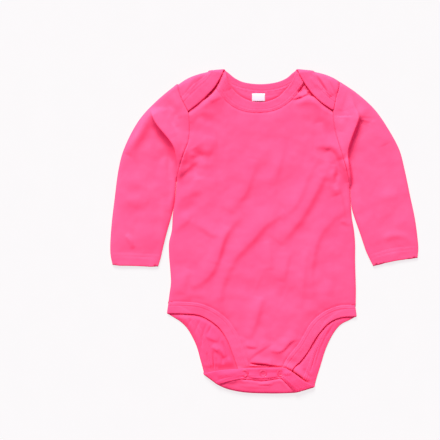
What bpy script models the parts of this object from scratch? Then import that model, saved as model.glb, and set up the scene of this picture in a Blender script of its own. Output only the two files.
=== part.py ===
"""Long-sleeved baby bodysuit with an envelope neck, fastened at the crotch and laid face up.

Every size is in millimetres and is turned into metres when a mesh is made. X runs across the
garment, Y runs towards the neck, and Z is up from the surface that it lies on. Left and right
are the wearer's, so the right sleeve lies at negative X.

Each cut piece is drawn as its mid-surface, then Solidify gives it the thickness of the cloth.
"""

import math
from collections import namedtuple

import bpy
import numpy as np
from mathutils import Vector
from mathutils.geometry import delaunay_2d_cdt

MM = 0.001

# Cloth and the stack of layers
CLOTH = 1.2
BINDING = 1.8
LAYER_GAP = 0.3
SEAM_GAP = 0.4
ARMHOLE_GAP = 0.7
BACK_LEVEL = CLOTH / 2
BACK_BINDING_LEVEL = BINDING / 2
FRONT_LEVEL = CLOTH + LAYER_GAP + CLOTH / 2
FRONT_BINDING_LEVEL = BINDING + LAYER_GAP + BINDING / 2
OVERLAP_DROP = BINDING + LAYER_GAP
SHOULDER_RAISE = 3.0
SHOULDER_FADE = 30.0
OVERLAP_FADE = 9.0

# Air between the front and the back, which grows from nothing at the closed edges
AIR = 3.0
AIR_REACH = 8.0
REST_SHARE = 0.5
REST_REACH = 24.0

# The tab of the back that is folded up over the front
TAB_FOLD_LEVEL = 4.6
TAB_RISE = 2.5
TAB_RISE_REACH = 18.0

# How far the mid-surface lies inside a sleeve's outline, and the front inside a shoulder fold
SLEEVE_INSET = 1.6
SHOULDER_INSET = 1.8

# Trims
SNAP_RADIUS = 5.2
SNAP_HEIGHT = 1.1
STUD_RADIUS = 4.0
STUD_HEIGHT = 1.6
LABEL_THICKNESS = 1.0
LABEL_LIFT = 0.6

# Mesh spacing
FRONT_SPACING = 8.5
BACK_SPACING = 15.0
FLAP_SPACING = 8.0
EDGE_SPACING = 7.0
CREST_SPACING = 5.5
SLEEVE_BACK_SPACING = 16.0
TURN_STEPS = 4
BINDING_CELLS = 3
OPENING_POINTS = 10
CURVE_STEPS = 16
SNAP_SIDES = 20
LABEL_ROWS = 4
LABEL_COLUMNS = 5
# Shortest piece of an edge beside a corner
CORNER_CLEARANCE = 2.0
# Least distances between mesh points, and from the border, as shares of the mesh spacing
CREST_APART = 0.42
CREST_FROM_BORDER = 0.33
GRID_APART = 0.62
GRID_FROM_BORDER = 0.45
# The rows of points at the foot of a fold, as a multiple of its width
FOOT_OFFSET = 1.3
# How blunt a fold's ends are: less is blunter
FOLD_TAPER = 0.7

PINK = (0.95, 0.11, 0.29, 1)
SNAP_PINK = (0.72, 0.10, 0.26, 1)
WHITE = (0.9, 0.9, 0.9, 1)

Point = namedtuple("Point", "x y")
Edges = namedtuple("Edges", "free_x free_y seam_x seam_y")
Fold = namedtuple("Fold", "x0 y0 xm ym x1 y1 steep soft height")
Step = namedtuple("Step", "radius_share height_share")

# Points that tell the inner side of an edge from its outer side
BODY_CENTRE = (-3, 0)
SEAT_CENTRE = (0, -100)
BELOW_TAB = (0, -230)

# Seam between body and sleeve, from the shoulder to the underarm
ARMHOLE_RIGHT = [
    Point(-110.5, 188),
    Point(-106, 171),
    Point(-97, 153),
    Point(-94.5, 135),
    Point(-96, 115),
    Point(-102, 98),
    Point(-107.5, 80),
    Point(-111, 64),
]
ARMHOLE_LEFT = [
    Point(96.5, 190.5),
    Point(92, 173),
    Point(87.5, 155),
    Point(88.5, 136),
    Point(92, 118),
    Point(99, 95),
    Point(105, 73),
    Point(109, 55),
]

# Edges of each flattened sleeve, from the armhole to the opening
SLEEVE_OUTER_RIGHT = [
    Point(-110.5, 188),
    Point(-136.5, 166.5),
    Point(-159.5, 141),
    Point(-179, 103),
    Point(-185.5, 77),
    Point(-190, 42),
    Point(-193, 12),
    Point(-195, -17),
    Point(-194.5, -30.5),
    Point(-192, -42.5),
]
SLEEVE_INNER_RIGHT = [
    Point(-111.5, 63.5),
    Point(-112.5, 58),
    Point(-113.7, 51),
    Point(-115, 42),
    Point(-117, 29),
    Point(-120.5, 12),
    Point(-124, -3),
    Point(-128.5, -22),
    Point(-131, -33),
    Point(-134.5, -44.5),
]
SLEEVE_OUTER_LEFT = [
    Point(96.5, 190.5),
    Point(118, 176),
    Point(141, 155),
    Point(159, 128.5),
    Point(172, 103),
    Point(178.5, 77),
    Point(185.5, 44),
    Point(191, 17),
    Point(194.5, -8.5),
    Point(195.5, -21),
    Point(194.5, -33.5),
]
SLEEVE_INNER_LEFT = [
    Point(109.6, 54.5),
    Point(111, 49),
    Point(112.4, 43),
    Point(113.8, 36),
    Point(115.5, 27),
    Point(118, 14),
    Point(121.5, 0.5),
    Point(125, -12),
    Point(129.5, -25),
    Point(133.5, -33.5),
    Point(139, -44),
]
# Side seams from the underarm to the seam of the leg binding
SIDE_RIGHT = [
    Point(-111, 64),
    Point(-113, 42.5),
    Point(-115.8, 22),
    Point(-117, 2),
    Point(-120.5, -14),
    Point(-120.5, -30),
    Point(-119, -49),
    Point(-118, -65),
    Point(-119.5, -79),
    Point(-120.5, -88.5),
]
SIDE_LEFT = [
    Point(109, 55),
    Point(110, 36),
    Point(111.5, 17),
    Point(114, 2),
    Point(115.5, -14.5),
    Point(115.5, -36),
    Point(116, -55),
    Point(116.5, -74),
    Point(116.3, -92.5),
]

# Shoulder fold of the back panel, from the neckband seam to the armhole
SHOULDER_RIGHT = [Point(-70, 200.2), Point(-84, 196.7), Point(-97, 192), Point(-107.9, 185.6)]
SHOULDER_LEFT = [Point(63, 200.2), Point(77.5, 196.7), Point(87, 192.7), Point(94, 188.6)]

# Neckband of the back: along each shoulder flap, round the fold, and across the back neck
FLAP_BAND_RIGHT = [
    Edges(-94.6, 152.8, -104.6, 169.3),
    Edges(-82, 163, -96, 179.5),
    Edges(-72.5, 172, -86.5, 188.5),
    Edges(-62.5, 183, -77.5, 195),
    Edges(-54.5, 195, -72, 199),
    Edges(-49.5, 202.5, -70, 200.2),
]
FLAP_BAND_LEFT = [
    Edges(86.3, 153.4, 90.2, 168.8),
    Edges(73, 162.5, 82.5, 175),
    Edges(61.5, 173.5, 73.5, 184),
    Edges(52, 186, 67, 193),
    Edges(45.5, 196.5, 64, 198.5),
    Edges(41.5, 202.5, 63, 200.2),
]
BACK_NECK_BAND = [
    Edges(-49.5, 202.5, -70, 200.2),
    Edges(-44, 199, -57, 189.5),
    Edges(-37, 195, -44.5, 183),
    Edges(-26, 190.8, -30, 178.3),
    Edges(-4, 187, -4, 175.3),
    Edges(17, 190.5, 21.5, 178),
    Edges(28.5, 195, 36.5, 183),
    Edges(36, 199, 50, 189.5),
    Edges(41.5, 202.5, 63, 200.2),
]
FRONT_NECK_BAND = [
    Edges(-48.5, 199.8, -68.5, 197.3),
    Edges(-46, 191.5, -62.5, 184.5),
    Edges(-40.5, 181.5, -53, 170.5),
    Edges(-32, 173, -41, 159.3),
    Edges(-20, 166.5, -25.5, 152.2),
    Edges(-7, 164, -7.5, 150.5),
    Edges(6, 165.5, 10, 152.5),
    Edges(17.5, 170.5, 25, 158.8),
    Edges(27.5, 180, 39, 171),
    Edges(34.5, 189.5, 50, 184.5),
    Edges(40.2, 199.8, 61.5, 197.3),
]

# Leg bindings: on the front from the crotch to the side, on the back from the side to the
# fold at the crotch, then on the tab from that fold to its end
LEG_FRONT_RIGHT = [
    Edges(-31, -186, -16, -186),
    Edges(-33.5, -174.5, -18.5, -170.5),
    Edges(-40.5, -153.5, -26.5, -148.5),
    Edges(-47, -137.5, -34, -129.5),
    Edges(-57, -122.5, -47, -111),
    Edges(-69.5, -112.5, -63.5, -98.5),
    Edges(-84, -106, -81.5, -91.2),
    Edges(-103, -104.3, -102, -89.2),
    Edges(-121, -104, -118.8, -89),
]
LEG_FRONT_LEFT = [
    Edges(34, -186, 19, -186),
    Edges(37, -174, 23.5, -171),
    Edges(46, -165, 31, -157.5),
    Edges(55.5, -152.5, 43, -143),
    Edges(63, -139.5, 50.5, -130.5),
    Edges(72, -126.5, 60, -115),
    Edges(83.5, -115.3, 74.5, -102.5),
    Edges(97, -109.3, 93, -94.5),
    Edges(116, -107.8, 114.4, -93),
]
LEG_BACK_RIGHT = [
    Edges(-121, -104, -118.8, -89),
    Edges(-114, -109.3, -105.5, -97),
    Edges(-106, -114.5, -95, -104.5),
    Edges(-97.5, -123, -85.5, -114.5),
    Edges(-86, -143.5, -72.5, -137.5),
    Edges(-79.5, -164, -65, -161),
    Edges(-74.5, -178.5, -55.5, -193),
]
LEG_BACK_LEFT = [
    Edges(116, -107.8, 114.4, -93),
    Edges(109, -112, 102.5, -98.5),
    Edges(97.5, -118, 88, -106.5),
    Edges(88.5, -128.5, 76.5, -119.5),
    Edges(78.5, -148.5, 65, -143),
    Edges(72, -169, 57.5, -165),
    Edges(66.5, -186, 49.5, -184),
    Edges(63.2, -194, 38.2, -202),
]
TAB_BINDING_RIGHT = [
    Edges(-74.5, -178.5, -55.5, -193),
    Edges(-63, -176.5, -47, -190),
    Edges(-50, -174.8, -35.5, -187.5),
    Edges(-35.5, -173.5, -24, -186.3),
]
TAB_BINDING_LEFT = [
    Edges(63.2, -194, 38.2, -202),
    Edges(52, -189.5, 31.5, -195.5),
    Edges(42, -182.5, 25.5, -189.5),
    Edges(33.5, -176.3, 21.5, -185.5),
]
# Bands across the two ends that the snaps join, from the wearer's right to the left
TAB_BAND = [
    Edges(-34.6, -173.2, -23.3, -185.9),
    Edges(-18, -172.6, -16, -187.6),
    Edges(-2, -172.3, -4, -189),
    Edges(14, -172.7, 11, -187),
    Edges(32.6, -175.8, 20.8, -185.2),
]
FRONT_BAND = [
    Edges(-15.4, -186, -17.8, -173.5),
    Edges(1.5, -186.5, 2, -174.5),
    Edges(18.4, -186, 22, -174),
]
BOTTOM_FOLD = [
    Point(-55.5, -193),
    Point(-46, -197.2),
    Point(-25.5, -201.8),
    Point(5, -203.4),
    Point(38.2, -202),
]

SNAPS = [Point(-24.5, -179.3), Point(-1.5, -179.5), Point(20.5, -179.3)]
SNAP_CAP_STEPS = [
    Step(1, 0),
    Step(1, 0.45),
    Step(0.86, 0.95),
    Step(0.62, 1),
    Step(0.46, 0.5),
    Step(0.3, 0.35),
]
SNAP_STUD_STEPS = [Step(1, 0), Step(1, 0.55), Step(0.75, 1)]
LABEL_CORNER = Point(-15.5, 166.3)
LABEL_SIZE = (17.5, 8.6)

# Folds of the upper layer. A soft ridge runs from (x0, y0) by way of (xm, ym) to (x1, y1), with its
# steep width on the left of that line and its soft width on the right. A trough has a height below 0.
BODY_FOLDS = [
    Fold(79, 80, 54, 32, 20, -14, 4.8, 9, 4.8),
    Fold(17, 19, -15, -9, -45, -49, 5.5, 9, 3.6),
    Fold(-15, 81, -23, 55, -39, 30, 5.5, 9, 1.9),
    Fold(-39, 8, -60, -32, -87, -68, 5.5, 8, 2.9),
    Fold(89, 18, 67, -9, 57, -46, 5.5, 9, 3.2),
    Fold(-12, -139, -5, -113, 1, -91, 5.5, 9, 1.8),
    Fold(42, -138, 28, -147, 8, -154, 3.5, 3.5, -1.5),
]
ARMHOLE_FOLDS = [
    Fold(-82, 68, -97, 74, -110, 64, 3.5, 3.5, -1.9),
    Fold(-93, 98, -92, 84, -86, 68, 4.5, 4.5, -1.8),
    Fold(92, 76, 95, 48, 103, 20, 4.5, 4.5, -1.8),
    Fold(68, 100, 86, 100, 94, 84, 4, 4, -1.3),
    Fold(-58, -7, -76, -3, -96, 1, 5, 7, 1.3),
    Fold(72, 136, 77, 122, 85, 106, 4.5, 7, 1.3),
]
# The tucks below the two shoulders, then elbows, wrists and the stitched grooves of the hems
SLEEVE_FOLDS = [
    Fold(-107, 80, -111, 114, -138, 149, 7.5, 12, 6.2),
    Fold(-145, 146, -157, 123, -173, 99, 7, 5.5, 3.2),
    Fold(-136, 132, -140, 118, -146, 104, 8, 8, -1.4),
    Fold(118, 148, 102.5, 98, 107.5, 54, 3.5, 12, 6.0),
    Fold(122, 143, 108.5, 98, 111.5, 56, 3.5, 3.5, -3.0),
    Fold(150, 136, 138, 147, 123, 147, 4, 9, 3.0),
    Fold(-176, 38, -157, 46, -138, 46, 9, 9, 1.7),
    Fold(-168, -6, -165, -14, -160, -22, 4, 4, 1.3),
    Fold(136, 40, 152, 31, 170, 30, 9, 9, 1.6),
    Fold(150, -12, 166, -8, 182, -10, 5, 5, 1.2),
    Fold(-194, -30.5, -162, -31.5, -131, -33, 2.2, 2.2, -0.8),
    Fold(195, -21, 164, -27, 134, -33.5, 2.2, 2.2, -0.8),
]
UPPER_FOLDS = BODY_FOLDS + ARMHOLE_FOLDS + SLEEVE_FOLDS
# Folds of the front alone, which sinks beside the two shoulder flaps
NECK_FOLDS = [
    Fold(-51, 200, -66, 176, -95, 149, 4, 4, -2.6),
    Fold(42, 171, 49, 177, 56, 184, 3.2, 3.2, -2.0),
    Fold(34, 165, 48, 171, 64, 172, 3.2, 3.2, -2.4),
    Fold(60, 171, 72, 160, 86, 151, 3.6, 3.6, -1.6),
]
# Gathers of the back that show in the leg openings, drawn in by the bindings
SEAT_FOLDS = [
    Fold(-67, -138, -59, -157, -54, -176, 3, 3.2, 1.1),
    Fold(-76, -150, -74.5, -162, -73, -175, 1.8, 1.8, 0.7),
    Fold(-70.5, -152, -69.5, -164, -68.5, -177, 1.8, 1.8, 0.7),
    Fold(-56, -134, -51.5, -150, -47, -167, 2.6, 2.6, 0.8),
    Fold(-80, -110, -74, -120, -68, -133, 2.4, 2.4, 0.7),
    Fold(-89, -107, -84, -116, -79, -126, 2.2, 2.2, 0.5),
    Fold(73, -138, 68, -152, 64, -170, 2, 2, 0.6),
    Fold(67, -146, 62, -160, 58, -177, 2.2, 2.2, 0.6),
    Fold(82, -124, 76, -136, 71, -148, 2, 2, 0.5),
    Fold(89, -112, 82, -122, 78, -132, 2, 2, 0.4),
]


def smooth(rows, count=0, spacing=EDGE_SPACING):
    """Points of a centripetal Catmull-Rom curve through the rows, evenly spaced."""
    rows = np.array(rows, float)
    ends = np.vstack([2 * rows[0] - rows[1], rows, 2 * rows[-1] - rows[-2]])
    dense = []
    for a, b, c, d in zip(ends, ends[1:], ends[2:], ends[3:]):
        steps = [np.linalg.norm(v - u) ** 0.5 for u, v in ((a, b), (b, c), (c, d))]
        t0, t1, t2, t3 = np.cumsum([0, *steps])
        for t in np.linspace(t1, t2, CURVE_STEPS, endpoint=False):
            ab = ((t1 - t) * a + (t - t0) * b) / (t1 - t0)
            bc = ((t2 - t) * b + (t - t1) * c) / (t2 - t1)
            cd = ((t3 - t) * c + (t - t2) * d) / (t3 - t2)
            abc = ((t2 - t) * ab + (t - t0) * bc) / (t2 - t0)
            bcd = ((t3 - t) * bc + (t - t1) * cd) / (t3 - t1)
            dense.append(((t2 - t) * abc + (t - t1) * bcd) / (t2 - t1))
    dense = np.array([*dense, rows[-1]])
    along = np.concatenate([[0], np.cumsum(np.linalg.norm(np.diff(dense, axis=0), axis=1))])
    count = count or max(2, round(along[-1] / spacing) + 1)
    wanted = np.linspace(0, along[-1], count)
    return np.column_stack([np.interp(wanted, along, column) for column in dense.T])


def ease(t):
    """0 below 0, 1 above 1, and a smooth rise between."""
    t = np.clip(t, 0, 1)
    return t * t * (3 - 2 * t)


def nearest(points, line):
    """For each point: its distance from the line, its side (left is positive) and how far along it lies."""
    points, start = np.atleast_2d(points), line[:-1]
    run = line[1:] - start
    offset = points[:, None] - start[None]
    share = np.clip((offset * run).sum(2) / (run * run).sum(1), 0, 1)
    away = offset - share[..., None] * run
    distance = np.linalg.norm(away, axis=2)
    best = distance.argmin(1)
    row = np.arange(len(points))
    side = np.sign(run[best, 0] * offset[row, best, 1] - run[best, 1] * offset[row, best, 0])
    return distance[row, best], side, (best + share[row, best]) / len(run)


def inside(points, border):
    """Whether each point lies inside the closed border."""
    x, y = np.atleast_2d(points).T
    x0, y0 = border.T
    x1, y1 = np.roll(border, -1, axis=0).T
    crosses = (y0 > y[:, None]) != (y1 > y[:, None])
    rise = np.where(y1 == y0, 1, y1 - y0)
    return (crosses & (x[:, None] < (x1 - x0) * (y[:, None] - y0) / rise + x0)).sum(1) % 2 == 1


def cover(points, border, fade):
    """1 inside the border, falling to 0 over the fade outside it."""
    closed = np.vstack([border, border[:1]])
    distance = np.where(inside(points, border), 0, nearest(points, closed)[0])
    return 1 - ease(distance / fade)


def fold_line(fold):
    start, middle, end = np.array(fold[:6], float).reshape(3, 2)
    control = 2 * middle - (start + end) / 2
    t = np.linspace(0, 1, CURVE_STEPS)[:, None]
    return (1 - t) ** 2 * start + 2 * t * (1 - t) * control + t**2 * end


def fold_height(points, folds):
    total = np.zeros(len(points))
    for fold in folds:
        distance, side, along = nearest(points, fold_line(fold))
        width = np.where(side > 0, fold.steep, fold.soft)
        total += fold.height * np.exp(-((distance / width) ** 2)) * np.sin(np.pi * along) ** FOLD_TAPER
    return total


def free(edges):
    return edges[:, :2]


def seam(edges):
    return edges[:, 2:]


NECK_FLAPS = {
    "right": (smooth(FLAP_BAND_RIGHT), smooth(SHOULDER_RIGHT), smooth(ARMHOLE_RIGHT)),
    "left": (smooth(FLAP_BAND_LEFT), smooth(SHOULDER_LEFT), smooth(ARMHOLE_LEFT)),
}
FLAP_COVERS = [
    np.vstack([free(band), shoulder, [armhole[0]]])
    for band, shoulder, armhole in NECK_FLAPS.values()
]
TAB_COVER = np.vstack(
    [
        free(smooth(TAB_BINDING_RIGHT)),
        free(smooth(TAB_BAND)),
        free(smooth(TAB_BINDING_LEFT))[::-1],
        smooth(BOTTOM_FOLD)[::-1],
    ]
)
CLOSED_EDGES = [
    smooth(line)
    for line in (
        SLEEVE_OUTER_RIGHT,
        SLEEVE_INNER_RIGHT,
        SLEEVE_OUTER_LEFT,
        SLEEVE_INNER_LEFT,
        SIDE_RIGHT,
        SIDE_LEFT,
        SHOULDER_RIGHT,
        SHOULDER_LEFT,
    )
]
# Edges that aren't sewn to the layer under them, but rest on it
RESTING_EDGES = [
    free(smooth(LEG_FRONT_RIGHT)),
    free(smooth(LEG_FRONT_LEFT)),
    free(smooth(FRONT_NECK_BAND)),
    np.array([SLEEVE_OUTER_RIGHT[-1], SLEEVE_INNER_RIGHT[-1]], float),
    np.array([SLEEVE_OUTER_LEFT[-1], SLEEVE_INNER_LEFT[-1]], float),
]


def top_level(points):
    """Mid-height of the uppermost layer over most of the garment."""
    points = np.atleast_2d(points)
    edge = np.min([nearest(points, line)[0] for line in CLOSED_EDGES], axis=0)
    rest = np.min([nearest(points, line)[0] for line in RESTING_EDGES], axis=0)
    raised = np.max([cover(points, border, SHOULDER_FADE) for border in FLAP_COVERS], axis=0)
    open_share = 1 - np.exp(-edge / AIR_REACH)
    air = AIR * (1 - REST_SHARE * np.exp(-((rest / REST_REACH) ** 2)))
    folds = fold_height(points, UPPER_FOLDS)
    return FRONT_LEVEL + SHOULDER_RAISE * raised + (air + folds) * open_share


def front_level(points):
    """The front sinks where a shoulder flap or the tab lies on it."""
    points = np.atleast_2d(points)
    flaps = np.max([cover(points, border, OVERLAP_FADE) for border in FLAP_COVERS], axis=0)
    tab = cover(points, TAB_COVER, OVERLAP_FADE)
    level = top_level(points) - OVERLAP_DROP * flaps + fold_height(points, NECK_FOLDS)
    return np.maximum(level, FRONT_LEVEL) * (1 - tab) + FRONT_BINDING_LEVEL * tab


def front_binding_level(points):
    return np.maximum(front_level(points), FRONT_BINDING_LEVEL)


def back_level(points):
    return BACK_LEVEL + fold_height(np.atleast_2d(points), SEAT_FOLDS)


def back_binding_level(points):
    return BACK_BINDING_LEVEL + fold_height(np.atleast_2d(points), SEAT_FOLDS)


def flat_level(points):
    return np.full(len(points), BACK_LEVEL)


def flat_binding_level(points):
    return np.full(len(points), BACK_BINDING_LEVEL)


def flap_band_level(points):
    return top_level(points) + (BINDING - CLOTH) / 2


def tab_level(points):
    fold = smooth([Point(-74.5, -178.5), *BOTTOM_FOLD, Point(63.2, -194)])
    distance = nearest(np.atleast_2d(points), fold)[0]
    return TAB_FOLD_LEVEL + TAB_RISE * ease(distance / TAB_RISE_REACH)


def left_normals(line):
    """Unit normals of a plan line, on the left of its direction."""
    run = np.gradient(line, axis=0)
    normal = np.column_stack([-run[:, 1], run[:, 0]])
    return normal / np.linalg.norm(normal, axis=1)[:, None]


def outward_normals(line, centre):
    """Unit normals of a plan line, on the side away from the centre point."""
    normal = left_normals(line)
    facing = ((line - centre) * normal).sum(1).mean()
    return normal if facing > 0 else -normal


def shifted(line, distance, towards):
    """The line moved sideways by the distance, to the side where the point lies."""
    return line - distance * outward_normals(line, np.array(towards, float))


class Sheet:
    """The mid-surface of one piece of cloth, put together from regions and strips."""

    def __init__(self):
        self.points = []
        self.faces = []

    def add(self, plan, levels):
        first = len(self.points)
        self.points.extend((x, y, z) for (x, y), z in zip(plan, levels))
        return list(range(first, len(self.points)))

    def region(self, edges, level, spacing, folds=()):
        """Fills the space inside the named edges, which follow each other round its border.
        It returns the indices of the points on each edge."""
        border = np.vstack([edge[:-1] for edge in edges.values()])
        inner = [np.empty((0, 2))]
        for fold in folds:
            line = fold_line(fold)
            if not inside(line, border).all():
                continue
            count = max(3, round(np.linalg.norm(line[-1] - line[0]) / CREST_SPACING))
            crest = smooth(line, count)
            for side in (0, FOOT_OFFSET * fold.steep, -FOOT_OFFSET * fold.soft):
                inner.append(crest + side * left_normals(crest))
        inner = self.spread(np.vstack(inner), spacing * CREST_APART, border, spacing * CREST_FROM_BORDER)
        low, high = border.min(0), border.max(0)
        row_height = spacing * math.sqrt(3) / 2
        grid = [
            (x + (row % 2) * spacing / 2, y)
            for row, y in enumerate(np.arange(low[1], high[1], row_height))
            for x in np.arange(low[0], high[0], spacing)
        ]
        inner = self.spread(
            np.vstack([inner, grid]), spacing * GRID_APART, border, spacing * GRID_FROM_BORDER, len(inner)
        )
        plan = [Vector(p) for p in np.vstack([border, inner])]
        ring = [(i, (i + 1) % len(border)) for i in range(len(border))]
        found, _, triangles, origins, _, _ = delaunay_2d_cdt(plan, ring, [], 1, 1e-4)
        index = self.add(found, level(np.array([tuple(p) for p in found])))
        self.faces.extend(tuple(index[i] for i in triangle) for triangle in triangles)
        place = {origin: index[i] for i, given in enumerate(origins) for origin in given}
        named, first = {}, 0
        for name, edge in edges.items():
            named[name] = [place[(first + i) % len(border)] for i in range(len(edge))]
            first += len(edge) - 1
        return named

    @staticmethod
    def spread(points, apart, border, from_border, kept=0):
        """Leaves out the points that lie too near an earlier one or the border."""
        closed = np.vstack([border, border[:1]])
        clear = inside(points, border) & (nearest(points, closed)[0] > from_border)
        chosen = [tuple(p) for p in points[:kept]]
        for point in points[kept:][clear[kept:]]:
            if not chosen or np.linalg.norm(np.array(chosen) - point, axis=1).min() > apart:
                chosen.append(tuple(point))
        return np.array(chosen).reshape(-1, 2)

    def strip(self, rows, closed=False):
        """Quads between rows of point indices."""
        for row, following in zip(rows, rows[1:]):
            pairs = list(zip(row, row[1:]))
            ahead = list(zip(following, following[1:]))
            if closed:
                pairs.append((row[-1], row[0]))
                ahead.append((following[-1], following[0]))
            self.faces.extend((a, b, d, c) for (a, b), (c, d) in zip(pairs, ahead))

    def turn(self, low, high, outward):
        """The rounded fold between two rows that lie over each other, without those rows."""
        bottom, top = (np.array([self.points[i] for i in row]) for row in (low, high))
        radius = (top[:, 2] - bottom[:, 2]) / 2
        rows = []
        for step in range(1, TURN_STEPS):
            angle = math.pi * step / TURN_STEPS
            plan = bottom[:, :2] + outward * (radius * math.sin(angle))[:, None]
            rows.append(self.add(plan, bottom[:, 2] + radius * (1 - math.cos(angle))))
        return rows

    def solid(self, name, thickness, material):
        mesh = bpy.data.meshes.new(name)
        mesh.from_pydata([tuple(c * MM for c in p) for p in self.points], [], self.faces)
        mesh.materials.append(material)
        mesh.shade_smooth()
        cloth = bpy.data.objects.new(name, mesh)
        bpy.context.scene.collection.objects.link(cloth)
        bpy.context.view_layer.objects.active = cloth
        bpy.ops.object.mode_set(mode="EDIT")
        bpy.ops.mesh.select_all(action="SELECT")
        bpy.ops.mesh.normals_make_consistent(inside=False)
        bpy.ops.object.mode_set(mode="OBJECT")
        wall = cloth.modifiers.new("thickness", "SOLIDIFY")
        wall.thickness = thickness * MM
        wall.offset = 0
        wall.use_even_offset = True


def across(edges, level, sheet):
    """Rows of points from the free edge of a binding to its seam."""
    rows = []
    for station in edges:
        share = np.linspace(0, 1, BINDING_CELLS + 1)[:, None]
        plan = station[:2] * (1 - share) + station[2:] * share
        rows.append(sheet.add(plan, level(plan)))
    return rows


def fold_outward(edges, centre):
    """Direction out of the garment, square to the station line where a binding is folded."""
    run = edges[2:] - edges[:2]
    normal = np.array([-run[1], run[0]]) / np.linalg.norm(run)
    middle = (edges[:2] + edges[2:]) / 2
    return normal if (middle - np.array(centre)) @ normal > 0 else -normal


def folded(sheet, low_row, high_row, station, centre):
    outward = np.tile(fold_outward(station, centre), (len(low_row), 1))
    return sheet.turn(low_row, high_row, outward)


def armhole_edge(armhole, start=0.0):
    """The body's side of the armhole seam, from a share of its length to the underarm."""
    line = shifted(armhole, ARMHOLE_GAP, (0, 120))
    return line[round(start * (len(line) - 1)) :]


def make_back(material):
    """The back panel with its two shoulder flaps and the tab, all one cut piece."""
    sheet = Sheet()
    neck = shifted(seam(smooth(BACK_NECK_BAND)), SEAM_GAP, BODY_CENTRE)
    fold = smooth(BOTTOM_FOLD)
    shoulders = {side: NECK_FLAPS[side][1] for side in NECK_FLAPS}
    armholes = {side: armhole_edge(NECK_FLAPS[side][2]) for side in NECK_FLAPS}
    for side in NECK_FLAPS:
        armholes[side][0] = shoulders[side][-1]
    neck[0], neck[-1] = shoulders["right"][0], shoulders["left"][0]
    legs = {
        "right": shifted(seam(smooth(LEG_BACK_RIGHT)), SEAM_GAP, SEAT_CENTRE),
        "left": shifted(seam(smooth(LEG_BACK_LEFT)), SEAM_GAP, SEAT_CENTRE),
    }
    fold[0] = legs["right"][-1]
    fold[-1] = legs["left"][-1]
    sides = {"right": smooth(SIDE_RIGHT), "left": smooth(SIDE_LEFT)}
    for side in sides:
        sides[side][0] = armholes[side][-1]
        sides[side][-1] = legs[side][0]
    main = sheet.region(
        {
            "neck": neck,
            "left shoulder": shoulders["left"],
            "left armhole": armholes["left"],
            "left side": sides["left"],
            "left leg": legs["left"],
            "fold": fold[::-1],
            "right leg": legs["right"][::-1],
            "right side": sides["right"][::-1],
            "right armhole": armholes["right"][::-1],
            "right shoulder": shoulders["right"][::-1],
        },
        back_level,
        BACK_SPACING,
        SEAT_FOLDS[:4],
    )
    for side in NECK_FLAPS:
        band, shoulder, _ = NECK_FLAPS[side]
        tip_seam = shifted(seam(band), SEAM_GAP, shoulder[-1])
        tip_seam[-1] = shoulder[0]
        upper = [p for p in armholes[side] if p[1] > tip_seam[0][1] + CORNER_CLEARANCE]
        edge = np.array([*upper, tip_seam[0]])
        flap = sheet.region(
            {"fold": shoulder, "armhole": edge, "band": tip_seam},
            top_level,
            FLAP_SPACING,
        )
        low = main[f"{side} shoulder"]
        low = low if side == "left" else low[::-1]
        outward = outward_normals(shoulder, BODY_CENTRE)
        sheet.strip([low, *sheet.turn(low, flap["fold"], outward), flap["fold"]])
    bindings = [
        shifted(seam(smooth(rows)), SEAM_GAP, BELOW_TAB) for rows in (TAB_BINDING_RIGHT, TAB_BINDING_LEFT)
    ]
    band = shifted(seam(smooth(TAB_BAND)), SEAM_GAP, BELOW_TAB)
    bindings[0][0], bindings[1][0] = fold[0], fold[-1]
    bindings[0][-1], bindings[1][-1] = band[0], band[-1]
    tab = sheet.region(
        {"fold": fold[::-1], "right": bindings[0], "band": band, "left": bindings[1][::-1]},
        tab_level,
        FLAP_SPACING,
    )
    outward = outward_normals(fold[::-1], SEAT_CENTRE)
    sheet.strip([main["fold"], *sheet.turn(main["fold"], tab["fold"], outward), tab["fold"]])
    sheet.solid("back_panel", CLOTH, material)


def make_front(material):
    sheet = Sheet()
    neck = shifted(seam(smooth(FRONT_NECK_BAND)), SEAM_GAP, BODY_CENTRE)
    ends = {}
    for side, at in (("right", 0), ("left", -1)):
        _, shoulder, armhole = NECK_FLAPS[side]
        shoulder = shifted(shoulder, SHOULDER_INSET, BODY_CENTRE)
        hole = armhole_edge(armhole)
        hole = np.array([p for p in hole if p[1] < shoulder[-1][1] - CORNER_CLEARANCE])
        shoulder[0] = neck[at]
        ends[side] = (shoulder, np.vstack([shoulder[-1:], hole]))
    legs = {
        "right": shifted(seam(smooth(LEG_FRONT_RIGHT)), SEAM_GAP, BODY_CENTRE),
        "left": shifted(seam(smooth(LEG_FRONT_LEFT)), SEAM_GAP, BODY_CENTRE),
    }
    sides = {"right": smooth(SIDE_RIGHT), "left": smooth(SIDE_LEFT)}
    band = shifted(seam(smooth(FRONT_BAND)), SEAM_GAP, BODY_CENTRE)
    legs["right"] = np.array([p for p in legs["right"] if p[1] > band[0][1] + CORNER_CLEARANCE])
    legs["left"] = np.array([p for p in legs["left"] if p[1] > band[-1][1] + CORNER_CLEARANCE])
    for side in sides:
        sides[side][0] = ends[side][1][-1]
        sides[side][-1] = legs[side][-1]
    sheet.region(
        {
            "neck": neck,
            "left shoulder": ends["left"][0],
            "left armhole": ends["left"][1],
            "left side": sides["left"],
            "left leg": np.vstack([legs["left"][::-1], band[-1:]]),
            "band": band[::-1],
            "right leg": np.vstack([band[:1], legs["right"]]),
            "right side": sides["right"][::-1],
            "right armhole": ends["right"][1][::-1],
            "right shoulder": ends["right"][0][::-1],
        },
        front_level,
        FRONT_SPACING,
        BODY_FOLDS,
    )
    sheet.solid("front_panel", CLOTH, material)


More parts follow.
